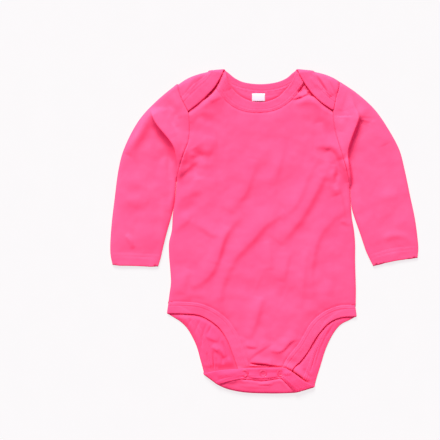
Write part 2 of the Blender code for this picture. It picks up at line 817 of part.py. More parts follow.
def make_neckband_back(material):
    sheet = Sheet()
    flaps = {side: NECK_FLAPS[side][0] for side in NECK_FLAPS}
    right = across(flaps["right"], flap_band_level, sheet)
    back = across(smooth(BACK_NECK_BAND), flat_binding_level, sheet)
    left = across(flaps["left"], flap_band_level, sheet)
    right_turn = folded(sheet, back[0], right[-1], flaps["right"][-1], BODY_CENTRE)
    left_turn = folded(sheet, back[-1], left[-1], flaps["left"][-1], BODY_CENTRE)
    rows = [*right, *right_turn[::-1], *back, *left_turn, *left[::-1]]
    sheet.strip(rows)
    sheet.solid("neckband_back", BINDING, material)


def make_neckband_front(material):
    sheet = Sheet()
    sheet.strip(across(smooth(FRONT_NECK_BAND), front_binding_level, sheet))
    sheet.solid("neckband_front", BINDING, material)


def make_leg_binding(side, front_rows, back_rows, tab_rows, material):
    """One strip round a leg opening: the front, the side, the back, then up the tab."""
    sheet = Sheet()
    on_front, on_back, on_tab = smooth(front_rows), smooth(back_rows), smooth(tab_rows)
    front = across(on_front, front_binding_level, sheet)
    back = across(on_back, back_binding_level, sheet)
    tab = across(on_tab, tab_level, sheet)
    side_turn = folded(sheet, back[0], front[-1], on_front[-1], SEAT_CENTRE)
    tab_turn = folded(sheet, back[-1], tab[0], on_tab[0], SEAT_CENTRE)
    sheet.strip([*front, *side_turn[::-1], *back, *tab_turn, *tab])
    sheet.solid(f"leg_binding_{side}", BINDING, material)


def make_band(name, rows, level, material):
    sheet = Sheet()
    sheet.strip(across(smooth(rows), level, sheet))
    sheet.solid(name, BINDING, material)


def make_sleeve(side, armhole, outer, inner, material):
    """A flattened tube: a lower wall on the surface, an upper wall, and the two folds."""
    sheet = Sheet()
    outer, inner = smooth(outer), smooth(inner)
    centre = np.vstack([outer, inner]).mean(0)
    outer = shifted(outer, SLEEVE_INSET, centre)
    inner = shifted(inner, SLEEVE_INSET, centre)
    top = smooth(armhole)
    top[0], top[-1] = outer[0], inner[0]
    opening = np.linspace(inner[-1], outer[-1], OPENING_POINTS)
    border = {"top": top, "inner": inner, "opening": opening, "outer": outer[::-1]}
    lower = sheet.region(border, flat_level, SLEEVE_BACK_SPACING)
    upper = sheet.region(border, top_level, FRONT_SPACING, SLEEVE_FOLDS)
    for edge, line in (("inner", inner), ("outer", outer[::-1])):
        outward = outward_normals(line, centre)
        sheet.strip([lower[edge], *sheet.turn(lower[edge], upper[edge], outward), upper[edge]])
    sheet.solid(f"sleeve_{side}", CLOTH, material)


def make_disc(name, place, level, radius, height, steps, material):
    """A turned disc that stands on the level and follows the steps from its rim to its middle."""
    rings = []
    points = [(place.x, place.y, level)]
    for step in steps:
        rings.append(len(points))
        for i in range(SNAP_SIDES):
            angle = 2 * math.pi * i / SNAP_SIDES
            x = place.x + radius * step.radius_share * math.cos(angle)
            y = place.y + radius * step.radius_share * math.sin(angle)
            points.append((x, y, level + height * step.height_share))
    points.append((place.x, place.y, level + height * steps[-1].height_share))
    faces = []
    for i in range(SNAP_SIDES):
        j = (i + 1) % SNAP_SIDES
        faces.append((0, rings[0] + j, rings[0] + i))
        faces.append((len(points) - 1, rings[-1] + i, rings[-1] + j))
        for a, b in zip(rings, rings[1:]):
            faces.append((a + i, a + j, b + j, b + i))
    mesh = bpy.data.meshes.new(name)
    mesh.from_pydata([tuple(c * MM for c in p) for p in points], [], faces)
    mesh.materials.append(material)
    mesh.shade_smooth()
    disc = bpy.data.objects.new(name, mesh)
    bpy.context.scene.collection.objects.link(disc)


def make_snaps(material):
    """Three press studs: a ring cap on the tab, and the joined socket and stud under it."""
    front_top = FRONT_BINDING_LEVEL + BINDING / 2 + LAYER_GAP
    for number, place in enumerate(SNAPS, 1):
        tab_top = float(tab_level([place])[0]) + BINDING / 2 + LAYER_GAP
        make_disc(f"snap_cap_{number}", place, tab_top, SNAP_RADIUS, SNAP_HEIGHT, SNAP_CAP_STEPS, material)
        make_disc(
            f"snap_stud_{number}", place, front_top, STUD_RADIUS, STUD_HEIGHT, SNAP_STUD_STEPS, material
        )


def make_label(material):
    """The label sewn into the back neck seam, with its lower end lifting a little."""
    sheet = Sheet()
    width, height = LABEL_SIZE
    rows = []
    for up in np.linspace(0, 1, LABEL_ROWS):
        plan = [
            (LABEL_CORNER.x + width * across_share, LABEL_CORNER.y + height * up)
            for across_share in np.linspace(0, 1, LABEL_COLUMNS)
        ]
        level = CLOTH + LAYER_GAP + LABEL_THICKNESS / 2 + LABEL_LIFT * (1 - up) ** 2
        rows.append(sheet.add(plan, [level] * len(plan)))
    sheet.strip(rows)
    sheet.solid("neck_label", LABEL_THICKNESS, material)


def make_material(name, colour, roughness):
    material = bpy.data.materials.new(name)
    material.use_nodes = True
    shader = material.node_tree.nodes["Principled BSDF"]
    shader.inputs["Base Color"].default_value = colour
    shader.inputs["Roughness"].default_value = roughness
    shader.inputs["Metallic"].default_value = 0
    return material


def main():
    for thing in list(bpy.data.objects):
        bpy.data.objects.remove(thing)
    jersey = make_material("cotton jersey", PINK, 0.9)
    rib = make_material("rib binding", PINK, 0.92)
    enamel = make_material("enamelled snap", SNAP_PINK, 0.35)
    satin = make_material("label satin", WHITE, 0.5)
    make_back(jersey)
    make_front(jersey)
    make_neckband_back(rib)
    make_neckband_front(rib)
    make_leg_binding("right", LEG_FRONT_RIGHT, LEG_BACK_RIGHT, TAB_BINDING_RIGHT, rib)
    make_leg_binding("left", LEG_FRONT_LEFT, LEG_BACK_LEFT, TAB_BINDING_LEFT, rib)
    make_band("crotch_band_back", TAB_BAND, tab_level, rib)
    make_band("crotch_band_front", FRONT_BAND, front_binding_level, rib)
    make_sleeve("right", ARMHOLE_RIGHT, SLEEVE_OUTER_RIGHT, SLEEVE_INNER_RIGHT, jersey)
    make_sleeve("left", ARMHOLE_LEFT, SLEEVE_OUTER_LEFT, SLEEVE_INNER_LEFT, jersey)
    make_snaps(enamel)
    make_label(satin)


main()
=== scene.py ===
import math

import bmesh
import bpy
import numpy as np
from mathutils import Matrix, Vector, noise
from mathutils.geometry import delaunay_2d_cdt


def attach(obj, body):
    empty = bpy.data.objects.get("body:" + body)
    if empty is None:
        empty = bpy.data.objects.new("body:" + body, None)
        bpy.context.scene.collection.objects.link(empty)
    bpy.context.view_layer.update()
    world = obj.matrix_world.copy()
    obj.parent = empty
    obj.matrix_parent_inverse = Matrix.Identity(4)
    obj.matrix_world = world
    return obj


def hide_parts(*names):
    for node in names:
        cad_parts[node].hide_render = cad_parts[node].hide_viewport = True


# Long-sleeved baby bodysuit laid face up: envelope neck, bound legs, tab snapped over the front.
# The pattern is in millimetres, as it was drawn. X is across, Y is towards the neck, Z is up,
# and left and right are the wearer's, so the right sleeve lies at negative X.
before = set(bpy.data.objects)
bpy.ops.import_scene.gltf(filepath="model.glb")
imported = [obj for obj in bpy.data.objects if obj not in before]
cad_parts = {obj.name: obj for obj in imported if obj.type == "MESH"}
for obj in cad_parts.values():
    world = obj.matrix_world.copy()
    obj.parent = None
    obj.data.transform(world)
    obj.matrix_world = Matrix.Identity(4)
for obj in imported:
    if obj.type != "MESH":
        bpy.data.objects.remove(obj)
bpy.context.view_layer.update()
mm = 0.001
print("frame loaded,", len(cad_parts), "solids to dress")

# pattern lines as they lie, (x, y)
armhole = {
    "right": [(-110.2, 187.2), (-106, 171), (-97, 153), (-94.5, 135), (-96, 115), (-102, 98), (-107.5, 80),
              (-111, 64)],
    "left": [(96.2, 189.7), (92, 173), (87.5, 155), (88.5, 136), (92, 118), (99, 95), (105, 73), (109, 55)],
}
sleeveOuter = {
    "right": [(-110.2, 187.2), (-136, 165.7), (-159, 140.5), (-178.3, 102.8), (-184.8, 77), (-189.4, 42),
              (-193, 12), (-195, -17), (-194.5, -30.5), (-192, -42.5)],
    "left": [(96.2, 189.7), (117.6, 175.3), (140.4, 154.3), (158.4, 128.2), (171.6, 103), (178.4, 77),
             (185.3, 44), (191, 17), (194.5, -8.5), (195.5, -21), (194.5, -33.5)],
}
sleeveInner = {
    "right": [(-111.2, 63.5), (-111.6, 58), (-112.2, 51), (-113, 42), (-114.1, 33), (-115.8, 25),
              (-119.4, 12), (-123.7, -3), (-128.5, -22), (-131, -33), (-134.5, -44.5)],
    "left": [(109.1, 54.5), (109.3, 49), (109.6, 43), (110, 36), (111.5, 27.5), (115.8, 14), (120.6, 0.5),
             (124.8, -12), (129.3, -25), (133.2, -33.5), (138.6, -44)],
}
bodySide = {
    "right": [(-111, 64), (-113, 42.5), (-115.8, 22), (-117, 2), (-120.5, -14), (-120.5, -30), (-119, -49),
              (-118.2, -65), (-120, -79), (-121.2, -88.5)],
    "left": [(109, 55), (110, 36), (111.5, 17), (114, 2), (115.5, -14.5), (115.5, -36), (116, -55),
             (116.5, -74), (116.3, -92.5)],
}
shoulderFold = {
    "right": [(-70, 202.5), (-84, 198.9), (-97, 193.8), (-108.2, 186.6)],
    "left": [(63, 202.5), (77.5, 198.8), (87, 194.9), (95, 190.2)],
}
bottomFold = [(-56.4, -195), (-46.4, -199.2), (-25.5, -203.4), (5, -204.8), (38.8, -204)]

# bindings, station by station: free edge x, y, then seam x, y
flapBand = {
    "right": [(-96.2, 152, -104.9, 168.8), (-82, 163, -96, 179.5), (-72.5, 172, -86.5, 188.5),
              (-62.5, 183, -77.5, 195), (-55, 195.7, -72.5, 200.4), (-50.2, 204.9, -70, 202.5)],
    "left": [(87.2, 153, 90.6, 168.4), (73, 162.5, 82.5, 175), (61.5, 173.5, 73.5, 184),
             (52, 186.3, 67, 193), (45.5, 197.2, 64, 199.8), (41.2, 204.9, 63, 202.5)],
}
backNeckBand = [(-50.2, 204.9, -70, 202.5), (-44.5, 200.6, -58, 193.5), (-37, 194.6, -45, 185.5),
                (-26, 189.5, -30, 179.6), (-4, 187, -4, 175.4), (17, 189.7, 21.5, 179.4),
                (28.5, 194.6, 36, 185.5), (35.8, 200.7, 50, 193.0), (41.2, 204.9, 63, 202.5)]
frontNeckBand = [(-48.8, 201.3, -68.5, 198.5), (-46, 192, -62.5, 184.5), (-40.5, 181.5, -53, 170.5),
                 (-32, 173, -41, 159.3), (-20, 166.5, -25.5, 152.2), (-7, 164, -7.5, 150.5),
                 (6, 165.5, 10, 152.5), (17.5, 170.5, 25, 158.8), (27.5, 180, 39, 171),
                 (35, 190, 50, 184.5), (40, 201.3, 61.5, 198.5)]
legFront = {
    "right": [(-31, -186, -16, -186), (-33.5, -174.5, -18.5, -170.5), (-40.5, -153.5, -26.5, -148.5),
              (-47, -137.5, -34, -129.5), (-57, -122.5, -47, -111), (-69.5, -112.5, -63.5, -98.5),
              (-84, -106, -81.5, -91.2), (-103, -104.3, -102, -89.2), (-122.7, -104, -120.9, -89)],
    "left": [(34, -186, 19, -186), (37, -174, 23.5, -171), (46, -165, 31, -157.5),
             (55.5, -152.5, 43, -143), (63, -139.5, 50.5, -130.5), (72, -126.5, 60, -115),
             (83.5, -115.3, 74.5, -102.5), (97, -109.3, 93, -94.5), (116.8, -107.8, 115.3, -93)],
}
legBack = {
    "right": [(-122.7, -104, -120.9, -89), (-114, -109.3, -105.5, -97), (-106, -114.5, -95, -104.5),
              (-97.5, -123, -85.5, -114.5), (-86.4, -143.5, -72.5, -137.5), (-80.4, -164, -65, -161),
              (-76.2, -179.5, -56.4, -195)],
    "left": [(116.8, -107.8, 115.3, -93), (109, -112, 102.5, -98.5), (97.5, -118, 88, -106.5),
             (88.5, -128.5, 76.5, -119.5), (78.5, -148.5, 65, -143), (72, -169, 57.5, -165),
             (66.7, -186, 49.5, -184), (64.2, -195.7, 38.8, -204)],
}
tabSide = {
    "right": [(-76.2, -179.5, -56.4, -195), (-63, -176.5, -47, -190.4), (-50, -174.8, -35.5, -187.5),
              (-35.5, -173.5, -24, -186.3)],
    "left": [(64.2, -195.7, 38.8, -204), (52, -189.7, 31.5, -195.9), (42, -182.5, 25.5, -189.5),
             (33.5, -176.3, 21.5, -185.5)],
}
tabEnd = [(-36.9, -173.7, -25.4, -186.9), (-18, -172.4, -16, -187.6), (-2, -172, -4, -189),
          (14, -172, 11, -187.3), (26.5, -172.8, 18, -186), (34.8, -177.3, 22.9, -186.4)]
frontEnd = [(-15.4, -186, -17.8, -173.5), (1.5, -186.5, 2, -174.5), (18.4, -186, 22, -174)]

# how the layers are stacked: middle of each one over the floor
stack = {
    "wall": 1.0,              # one layer of jersey
    "backMid": 0.6,
    "backBindingMid": 0.98,
    "frontMid": 2.1,          # the lowest that the front can lie on the back
    "frontBindingMid": 2.25,  # over one layer; over a binding of the back it is higher
    "overBinding": 0.85,
    "tabFloor": 3.1,
    "flapSink": 2.1,          # the front under a shoulder flap
    "edgeMid": 1.6,           # widest line of a closed edge
    "edgeRise": 2.0,          # how far the cloth rounds up from that line
    "edgeRound": 4.5,
    "air": 1.7,               # trapped between front and back
    "airReach": 14.0,
    "softReach": 6.0,         # the creases fade out this near a closed edge
    "restShare": 0.75,        # how much flatter the cloth lies at an open edge
    "restReach": 22.0,
    "shoulderRaise": 3.0,
    "shoulderFade": 30.0,
    "overlapFade": 7.0,
    "tabFade": 2.6,
    "tabFoldMid": 2.4,        # widest line of the fold at the crotch
    "tabRise": 2.6,
    "tabLift": 1.6,           # over the snaps
    "tabLiftReach": 18.0,
}
# creases. The line is where a crease is darkest: its steep side falls away to the
# left of the line's direction and its soft side lies to the right. Height below 0 is a trough.
# Columns: path, height, width of the steep side, width of the soft side.
bodyCreases = [
    ([(92, 96), (84, 80), (75, 62), (66, 45), (58, 30), (48, 14), (37, 0), (22, -18)], 3.3, 6.0, 14),
    ([(72, 94), (62, 78), (54, 60), (48, 44), (38, 28), (24, 12)], 1.8, 5.0, 10),
    ([(28, 23), (14, 13), (2, 5), (-8, -7), (-20, -20), (-31, -31), (-39, -44), (-44, -62)], 2.5, 5.6, 14),
    ([(-9, 90), (-12, 76), (-16, 62), (-22, 48), (-31, 36), (-40, 22)], 1.9, 5.0, 12),
    ([(-26, 18), (-39, 6), (-47, -8), (-53, -24), (-59, -42), (-67, -56), (-78, -66), (-92, -73)],
     2.7, 5.0, 13),
    ([(-43, 4), (-50, -10), (-54, -26), (-58, -42)], 1.7, 4.4, 10),
    ([(104, 23), (92, 16), (83, 8), (75, -1), (69, -14), (65, -30), (62, -52), (62, -86)], 2.1, 5.2, 12),
    ([(58, -20), (54, -36), (52, -60), (49, -98)], 1.5, 4.5, 9),
    ([(33, -28), (30, -45), (26, -64)], 1.3, 4.0, 8),
    ([(-41, -42), (-48, -60), (-53, -80), (-53, -98)], 1.4, 4.5, 9),
    ([(29, 116), (25, 96), (19, 78), (14, 58)], 1.3, 5, 9),
    ([(-60, 118), (-66, 92), (-64, 70)], 0.9, 7, 11),
    ([(6, -12), (9, -28), (11, -48)], 1.3, 3.8, 8),
    ([(-1, -84), (-4, -98), (-8, -112), (-12, -124), (-17, -137)], 2.0, 4.6, 11),
    ([(-8, -66), (9, -73), (26, -80)], -1.5, 12, 12),
    ([(12, -141.5), (2, -147), (-13, -157), (-20, -164)], 1.1, 1.8, 7),
    ([(44, -137.2), (36.5, -138.8), (32, -142), (27.5, -147.5), (20.5, -152.6), (8, -152.6)], 1.8, 1.6, 9),
    ([(-8, -147.2), (-16, -147), (-24, -145)], 1.7, 1.7, 6),
    ([(-18, 60), (-40, 66), (-62, 62)], 0.7, 8, 11),
    ([(84, -40), (88, -60), (86, -82)], 0.9, 5, 10),
    ([(-92, -50), (-98, -62), (-100, -80)], 1.2, 4.5, 9),
    ([(-70, -88), (-84, -84), (-104, -86)], 0.8, 4, 6),
]
armholeCreases = [
    ([(-82, 88), (-92, 82), (-99, 75.5), (-105, 70), (-111, 64.5)], 1.9, 3.4, 7),
    ([(-88, 106), (-82, 95), (-89, 84), (-84, 66)], -3.0, 7, 7),
    ([(-58, 106), (-76, 104), (-96, 110)], 2.8, 12, 13),
    ([(-68, 95), (-80, 99), (-92, 97)], 1.0, 5.0, 7),
    ([(-72, 84), (-84, 88), (-97, 89)], 0.9, 5.0, 7),
    ([(-78, 50), (-90, 46), (-101, 40), (-110, 30)], 1.8, 6.0, 9),
    ([(-82, 65), (-95, 64), (-106, 58)], 0.7, 4.5, 7),
    ([(-56, -6), (-66, -6), (-78, 2), (-94, 10)], 1.5, 4.6, 9),
    ([(-92, 13), (-102, 8), (-113, -3)], 1.3, 4.4, 8),
    ([(-64, 132), (-78, 128), (-92, 130)], 1.2, 7, 9),
    ([(92, 90), (89, 98), (82, 103), (73, 105), (64, 105)], 2.6, 4.6, 9),
    ([(80, 106), (87, 102), (91, 94), (93.5, 84), (94, 74)], -1.8, 3.0, 3.0),
    ([(92, 84), (90.5, 72), (92, 62), (97, 48)], 3.2, 5.0, 8),
    ([(92, 62), (97, 48), (101, 32), (106, 12)], 2.4, 3.0, 6),
    ([(73, 138), (77, 122), (86, 105)], 1.7, 4.2, 8),
    ([(112, 8), (104, 9), (96, 12)], 1.2, 2.6, 4),
    ([(108.6, 62), (109.8, 52), (110.6, 42), (111, 32), (111.6, 24)], 2.8, 0.9, 5),
    ([(97, 76), (92, 70), (90, 62), (92, 54)], -1.8, 4, 4),
    ([(-72, 150), (-84, 146), (-92, 136)], 1.0, 4, 7),
]
# where the cloth is crumpled: centre, reach, height, size of the crumples
rumples = [
    ((-84, 90), 18, 1.2, 9), ((84, 76), 17, 0.8, 9), ((-98, 30), 20, 0.9, 13), ((-72, 150), 20, 0.9, 12),
    ((76, 140), 20, 0.9, 12), ((14, -146), 30, 0.8, 11), ((-30, -90), 42, 0.7, 17), ((66, -82), 36, 0.6, 15),
    ((-118, 92), 18, 0.8, 10), ((118, 150), 20, 0.8, 11), ((-118, 158), 20, 0.9, 11), ((20, 60), 60, 0.6, 24),
]
# the front dips beside the right flap and bunches up beside the left one
frontNeckCreases = [
    ([(-50, 205), (-56.4, 194), (-63, 183), (-70, 174), (-77, 167)], -4.0, 2.8, 4.0),
    ([(-74, 167), (-85, 158), (-97, 149)], 0.4, 4.0, 5.0),
    ([(43, 174.5), (48, 181), (52.4, 186.5), (57, 192)], -4.4, 2.4, 7.5),
    ([(35, 165.8), (46, 169), (54, 172.3), (62, 175)], -2.0, 1.1, 3.4),
    ([(54, 174.4), (58, 175.6), (65, 174)], -4.5, 2.0, 4.2),
    ([(64, 168), (75, 158), (88, 149)], 0.5, 4.0, 5.0),
    ([(72, 159), (56, 162), (38, 160)], 0.8, 3.6, 7),
    ([(-52, 160), (-64, 163), (-80, 155)], 0.8, 3.2, 7),
    ([(-52, 170), (-60, 167), (-69, 163)], 1.3, 2.4, 5),
]
# the free edge of the front's neck binding stands off the back by its right end, and its left leg
# binding bulges over the tab's corner
bindingCreases = [
    ([(-49, 208), (-47, 198), (-44.8, 189), (-41.4, 181)], 1.8, 1.6, 7),
    ([(32, 178), (37, 188), (41, 200)], -0.8, 2, 2),
    ([(38, -177.5), (32, -174.2), (24, -171.4)], 2.6, 1.1, 5),
]
flapCreases = [
    ([(83, 170), (77.5, 181), (72, 190), (65, 200)], 3.0, 1.7, 4),
    ([(90, 174), (86, 184), (81, 194)], 1.8, 2.2, 5),
    ([(-84, 197), (-92, 187), (-101, 172)], 1.5, 2.6, 6),
    ([(-76, 200), (-86, 188), (-94, 174)], 1.2, 2.4, 5),
    ([(60, 196), (66, 188), (74, 180)], 1.0, 1.6, 3),
]
sleeveCreases = {
    "right": [
        ([(-140, 153), (-146.5, 138), (-155, 120), (-170, 96)], 6.6, 8.0, 5),
        ([(-128, 152), (-119, 138), (-110, 122)], 1.3, 3.4, 5),
        ([(-114, 176), (-107, 160), (-104, 144)], 1.3, 3.2, 5),
        ([(-124, 164), (-114, 150), (-107, 134)], 1.0, 3, 5),
        ([(-168, -22), (-171, -13), (-176, -5)], 1.6, 2.6, 3.5),
        ([(-128, 2), (-131, 18), (-130, 36)], 1.2, 3.6, 6),
        ([(-148, 56), (-166, 56), (-182, 64)], 1.1, 7, 9),
        ([(-148, 30), (-168, 34), (-184, 28)], 0.9, 7, 8),
        ([(-117, 66), (-120, 84), (-119, 104)], -1.5, 4, 5),
        ([(-112, 150), (-116, 140), (-113, 126)], -1.0, 4, 5),
        ([(-109, 64), (-110.4, 54), (-112.6, 44), (-115, 34), (-117, 24)], 2.8, 0.9, 5),
    ],
    "left": [
        ([(108, 149), (102, 138), (99, 126)], 1.2, 4, 5),
        ([(104, 178), (101, 166), (98, 152)], 1.2, 3, 5),
        ([(140, 142), (150, 128), (158, 112)], 1.4, 7, 8),
        ([(170, 42), (152, 38), (136, 44)], 1.0, 8, 8),
        ([(182, -10), (166, -8), (150, -12)], 1.0, 4, 5),
        ([(118, 60), (120, 44), (124, 24)], 0.9, 5, 7),
    ],
}
# the sleeves tuck over themselves below the shoulder: path beside the crest, height, how far the fall
# beyond it and the rise before it reach, how far the crest leans over the fall, reach and depth of the
# hollow, the lengths over which the tuck grows and fades, and how far along it the fall stays wide
sleeveTucks = {
    "right": [
        ([(-109.4, 50), (-109, 66), (-109.4, 84), (-110.5, 99), (-112.4, 106), (-115.5, 112), (-120, 118),
          (-125, 124), (-130, 130), (-134.6, 136), (-137.6, 141), (-141, 149), (-145, 158)],
         10.6, 6.8, 12, 1.8, 20, 5.0, 60, 13, 0),
    ],
    "left": [
        ([(103, 186), (109, 172), (114, 158), (118.4, 145.8), (116, 137), (112.8, 129), (109.4, 120),
          (106.6, 111), (104.8, 102), (104.2, 93), (104.8, 86), (106.4, 78), (108.4, 68), (110, 56), (111, 44)],
         9.4, 4.2, 16, 1.6, 15, 2.6, 52, 84, 40.5),
        ([(105, 100), (105.2, 92), (105.8, 86), (107, 79), (108.6, 71), (109.6, 62), (110.2, 50), (110.6, 36),
          (110.6, 22)], 4.6, 3.6, 3.4, 1.0, 9, 2.8, 16, 56, 0),
    ],
}
folds = {
    "reach": 3.2,         # a crease is looked for this many of its widths away
    "endTaper": 0.6,      # how blunt its ends are
    "crestShare": 0.7,    # its crest lies this share of the steep side from the line
    "tuckCrest": 1.0,     # and that of a tuck this many mm from it
    "crestRound": 0.8,    # a tuck's fall rounds off over this much of the crest
    "steepLeast": 0.4,    # share of the steep and of the soft width left where a tuck fades out
    "softLeast": 0.3,
    "tuckLip": 2.0,       # how far the lean of the crest reaches down the fall
    "wideFall": 1.1,      # where the fall is wide, it is this much wider
    "narrowing": 10,      # over this length it narrows again
    "seamEase": 5,        # a tuck leans less this near the piece's border
    "rumpleReach": 2.4,   # a rumple is looked for this many of its reaches away
}
seamShape = {"puffAt": 3.2, "puffWidth": 1.8, "grooveWidth": 1.1, "reach": 16, "puckerFade": 5, "puckerLength": 14}
# the back inside the leg openings, drawn in by the bindings
backCreases = [
    ([(-52, -161), (-57.4, -153.5), (-67, -147)], 2.4, 2.4, 4.5),
    ([(-58, -149), (-54, -156), (-52.4, -163), (-52.6, -168)], -1.9, 1.7, 1.9),
    ([(-58, -140), (-64, -138.6), (-69, -136.4), (-75, -133)], 1.5, 2.4, 6),
    ([(-53, -139), (-48.6, -151), (-44.4, -162)], -1.7, 1.4, 1.4),
    ([(-73.5, -180), (-74.5, -166), (-76.5, -150)], -1.3, 1.0, 1.1),
    ([(-70, -181), (-71, -168), (-72.5, -153)], -1.7, 1.3, 1.4),
    ([(-66.6, -182), (-67.5, -170), (-69, -158)], -1.3, 1.0, 1.1),
    ([(-63.5, -183), (-63.6, -172), (-64.6, -152)], -2.1, 1.3, 1.4),
    ([(-60, -182), (-60, -172), (-61, -160)], -1.5, 1.0, 1.0),
    ([(-72, -116), (-76, -125), (-79, -138)], -0.7, 1.4, 1.4),
    ([(-66, -118), (-70, -127), (-72, -133)], -0.8, 1.2, 1.4),
    ([(-79, -110), (-84, -118), (-88, -130)], -0.6, 1.4, 1.4),
    ([(-90, -108), (-94, -114), (-98, -122)], -0.5, 1.3, 1.3),
    ([(-78, -136), (-80, -146), (-80, -158)], -1.0, 1.0, 1.0),
    ([(63, -176), (68, -158), (73, -142)], -1.1, 1.0, 1.0),
    ([(59, -178), (63, -162), (68, -147)], -1.0, 1.0, 1.0),
    ([(72, -148), (77, -136), (84, -124)], -0.9, 1.0, 1.1),
    ([(79, -134), (84, -124), (91, -114)], -0.9, 1.1, 1.2),
    ([(57, -158), (63, -146), (70, -134)], -0.8, 1.6, 1.8),
    ([(55, -190.6), (50, -186.8), (43.2, -181.6), (33, -174.4)], 3.6, 1.6, 6),
    ([(-37, 184), (-28, 179.2), (-4, 176), (21, 179), (35, 184.5)], -1.1, 0.8, 0.8),
    ([(-33, 179.5), (-24, 175.8), (-4, 172.8), (20, 175.4), (32, 180)], -0.9, 0.8, 0.8),
    ([(60, -186), (54, -181), (50, -174)], -1.6, 2.6, 2.6),
]
tabCreases = [
    ([(11, -194), (0, -193.8), (-8, -194.4)], 0.9, 1.0, 2),
    ([(-23, -186.4), (-36, -189.2), (-48, -191.4), (-62, -193.6)], 1.9, 2.2, 5),
    ([(42, -206), (35, -197), (28, -189), (21, -184)], 2.0, 3.2, 7),
    ([(8, -198), (-14, -198), (-34, -196)], 0.6, 2.2, 3.5),
    ([(20, -182.4), (8, -184.6), (-10, -185.6), (-24, -182.4), (-38, -184), (-54, -187.4)], 0.9, 0.9, 3),
    ([(32, -178), (20, -176), (0, -175.6), (-20, -176), (-40, -177.6)], 0.5, 0.8, 2),
    ([(-24, -180), (-34, -180.4), (-44, -181.8), (-60, -184.4)], 1.9, 3.2, 3.5),
    ([(35, -180.4), (29, -181), (22, -180)], 1.5, 1.8, 3),
]


def smoothLine(rows, spacing=1.8):
    # centripetal Catmull-Rom through the rows, then evenly spaced
    rows = np.array(rows, float)
    ends = np.vstack([2 * rows[0] - rows[1], rows, 2 * rows[-1] - rows[-2]])
    dense = []
    for a, b, c, d in zip(ends, ends[1:], ends[2:], ends[3:]):
        t0, t1, t2, t3 = np.cumsum([0, *(np.linalg.norm(v - u) ** 0.5 for u, v in ((a, b), (b, c), (c, d)))])
        t = np.linspace(t1, t2, 24, endpoint=False)[:, None]
        ab = ((t1 - t) * a + (t - t0) * b) / (t1 - t0)
        bc = ((t2 - t) * b + (t - t1) * c) / (t2 - t1)
        cd = ((t3 - t) * c + (t - t2) * d) / (t3 - t2)
        abc = ((t2 - t) * ab + (t - t0) * bc) / (t2 - t0)
        bcd = ((t3 - t) * bc + (t - t1) * cd) / (t3 - t1)
        dense.append(((t2 - t) * abc + (t - t1) * bcd) / (t2 - t1))
    dense = np.vstack([*dense, rows[-1:]])
    along = lengthAlong(dense)
    wanted = np.linspace(0, along[-1], max(3, round(along[-1] / spacing) + 1))
    return np.column_stack([np.interp(wanted, along, column) for column in dense.T])


def lengthAlong(line):
    return np.concatenate([[0], np.cumsum(np.linalg.norm(np.diff(line, axis=0), axis=1))])


def ease(t):
    t = np.clip(t, 0, 1)
    return t * t * (3 - 2 * t)


def roundOver(distance, reach):
    # quarter of an ellipse: 0 at the edge, where it stands upright, and 1 past the reach
    return np.sqrt(1 - (1 - np.clip(distance / reach, 0, 1)) ** 2)


def nearestOn(plan, line):
    # distance from the line, side of it (left is 1) and millimetres along it
    start, run = line[:-1], np.diff(line, axis=0)
    size = np.linalg.norm(run, axis=1)
    before = lengthAlong(line)
    found = []
    for part in np.array_split(plan, len(plan) // 1500 + 1):
        offset = part[:, None] - start[None]
        share = np.clip((offset * run).sum(2) / size**2, 0, 1)
        distance = np.linalg.norm(offset - share[..., None] * run, axis=2)
        best, row = distance.argmin(1), np.arange(len(part))
        cross = run[best, 0] * offset[row, best, 1] - run[best, 1] * offset[row, best, 0]
        found.append(np.column_stack([distance[row, best], np.where(cross < 0, -1, 1),
                                      before[best] + share[row, best] * size[best]]))
    return np.vstack(found).T


def distanceTo(plan, line):
    return nearestOn(plan, line)[0]


def nearestOf(plan, lines):
    return np.min([distanceTo(plan, line) for line in lines], axis=0)


def insideOf(plan, border):
    x0, y0 = border.T
    x1, y1 = np.roll(border, -1, axis=0).T
    rise = np.where(y1 == y0, 1, y1 - y0)
    found = []
    for part in np.array_split(plan, len(plan) // 3000 + 1):
        x, y = part.T[..., None]
        crosses = ((y0 > y) != (y1 > y)) & (x < (x1 - x0) * (y - y0) / rise + x0)
        found.append(crosses.sum(1) % 2 == 1)
    return np.concatenate(found)


def coverOf(plan, border, fade):
    # 1 inside the border, falling to 0 over the fade outside it
    away = distanceTo(plan, np.vstack([border, border[:1]]))
    return 1 - ease(np.where(insideOf(plan, border), 0, away) / fade)


def coveredBy(plan, borders, fade):
    return np.max([coverOf(plan, border, fade) for border in borders], axis=0)


def outwardFrom(line, centre):
    run = np.gradient(line, axis=0)
    normal = np.column_stack([-run[:, 1], run[:, 0]]) / np.linalg.norm(run, axis=1)[:, None]
    return normal if ((line - centre) * normal).sum(1).mean() > 0 else -normal


def movedIn(line, distance, towards):
    return line - distance * outwardFrom(line, np.array(towards, float))


def crumple(plan, size, seed):
    # soft unevenness of the cloth, about -1 to 1
    return np.array([noise.noise(Vector((x / size, y / size, seed))) for x, y in plan]) * 1.6


def rumpleHeight(plan):
    total = np.zeros(len(plan))
    for number, (centre, reach, height, size) in enumerate(rumples):
        away = np.linalg.norm(plan - centre, axis=1) / reach
        near = away < folds["rumpleReach"]
        total[near] += height * np.exp(-(away[near] ** 2)) * crumple(plan[near], size, 11.3 + number)
    return total


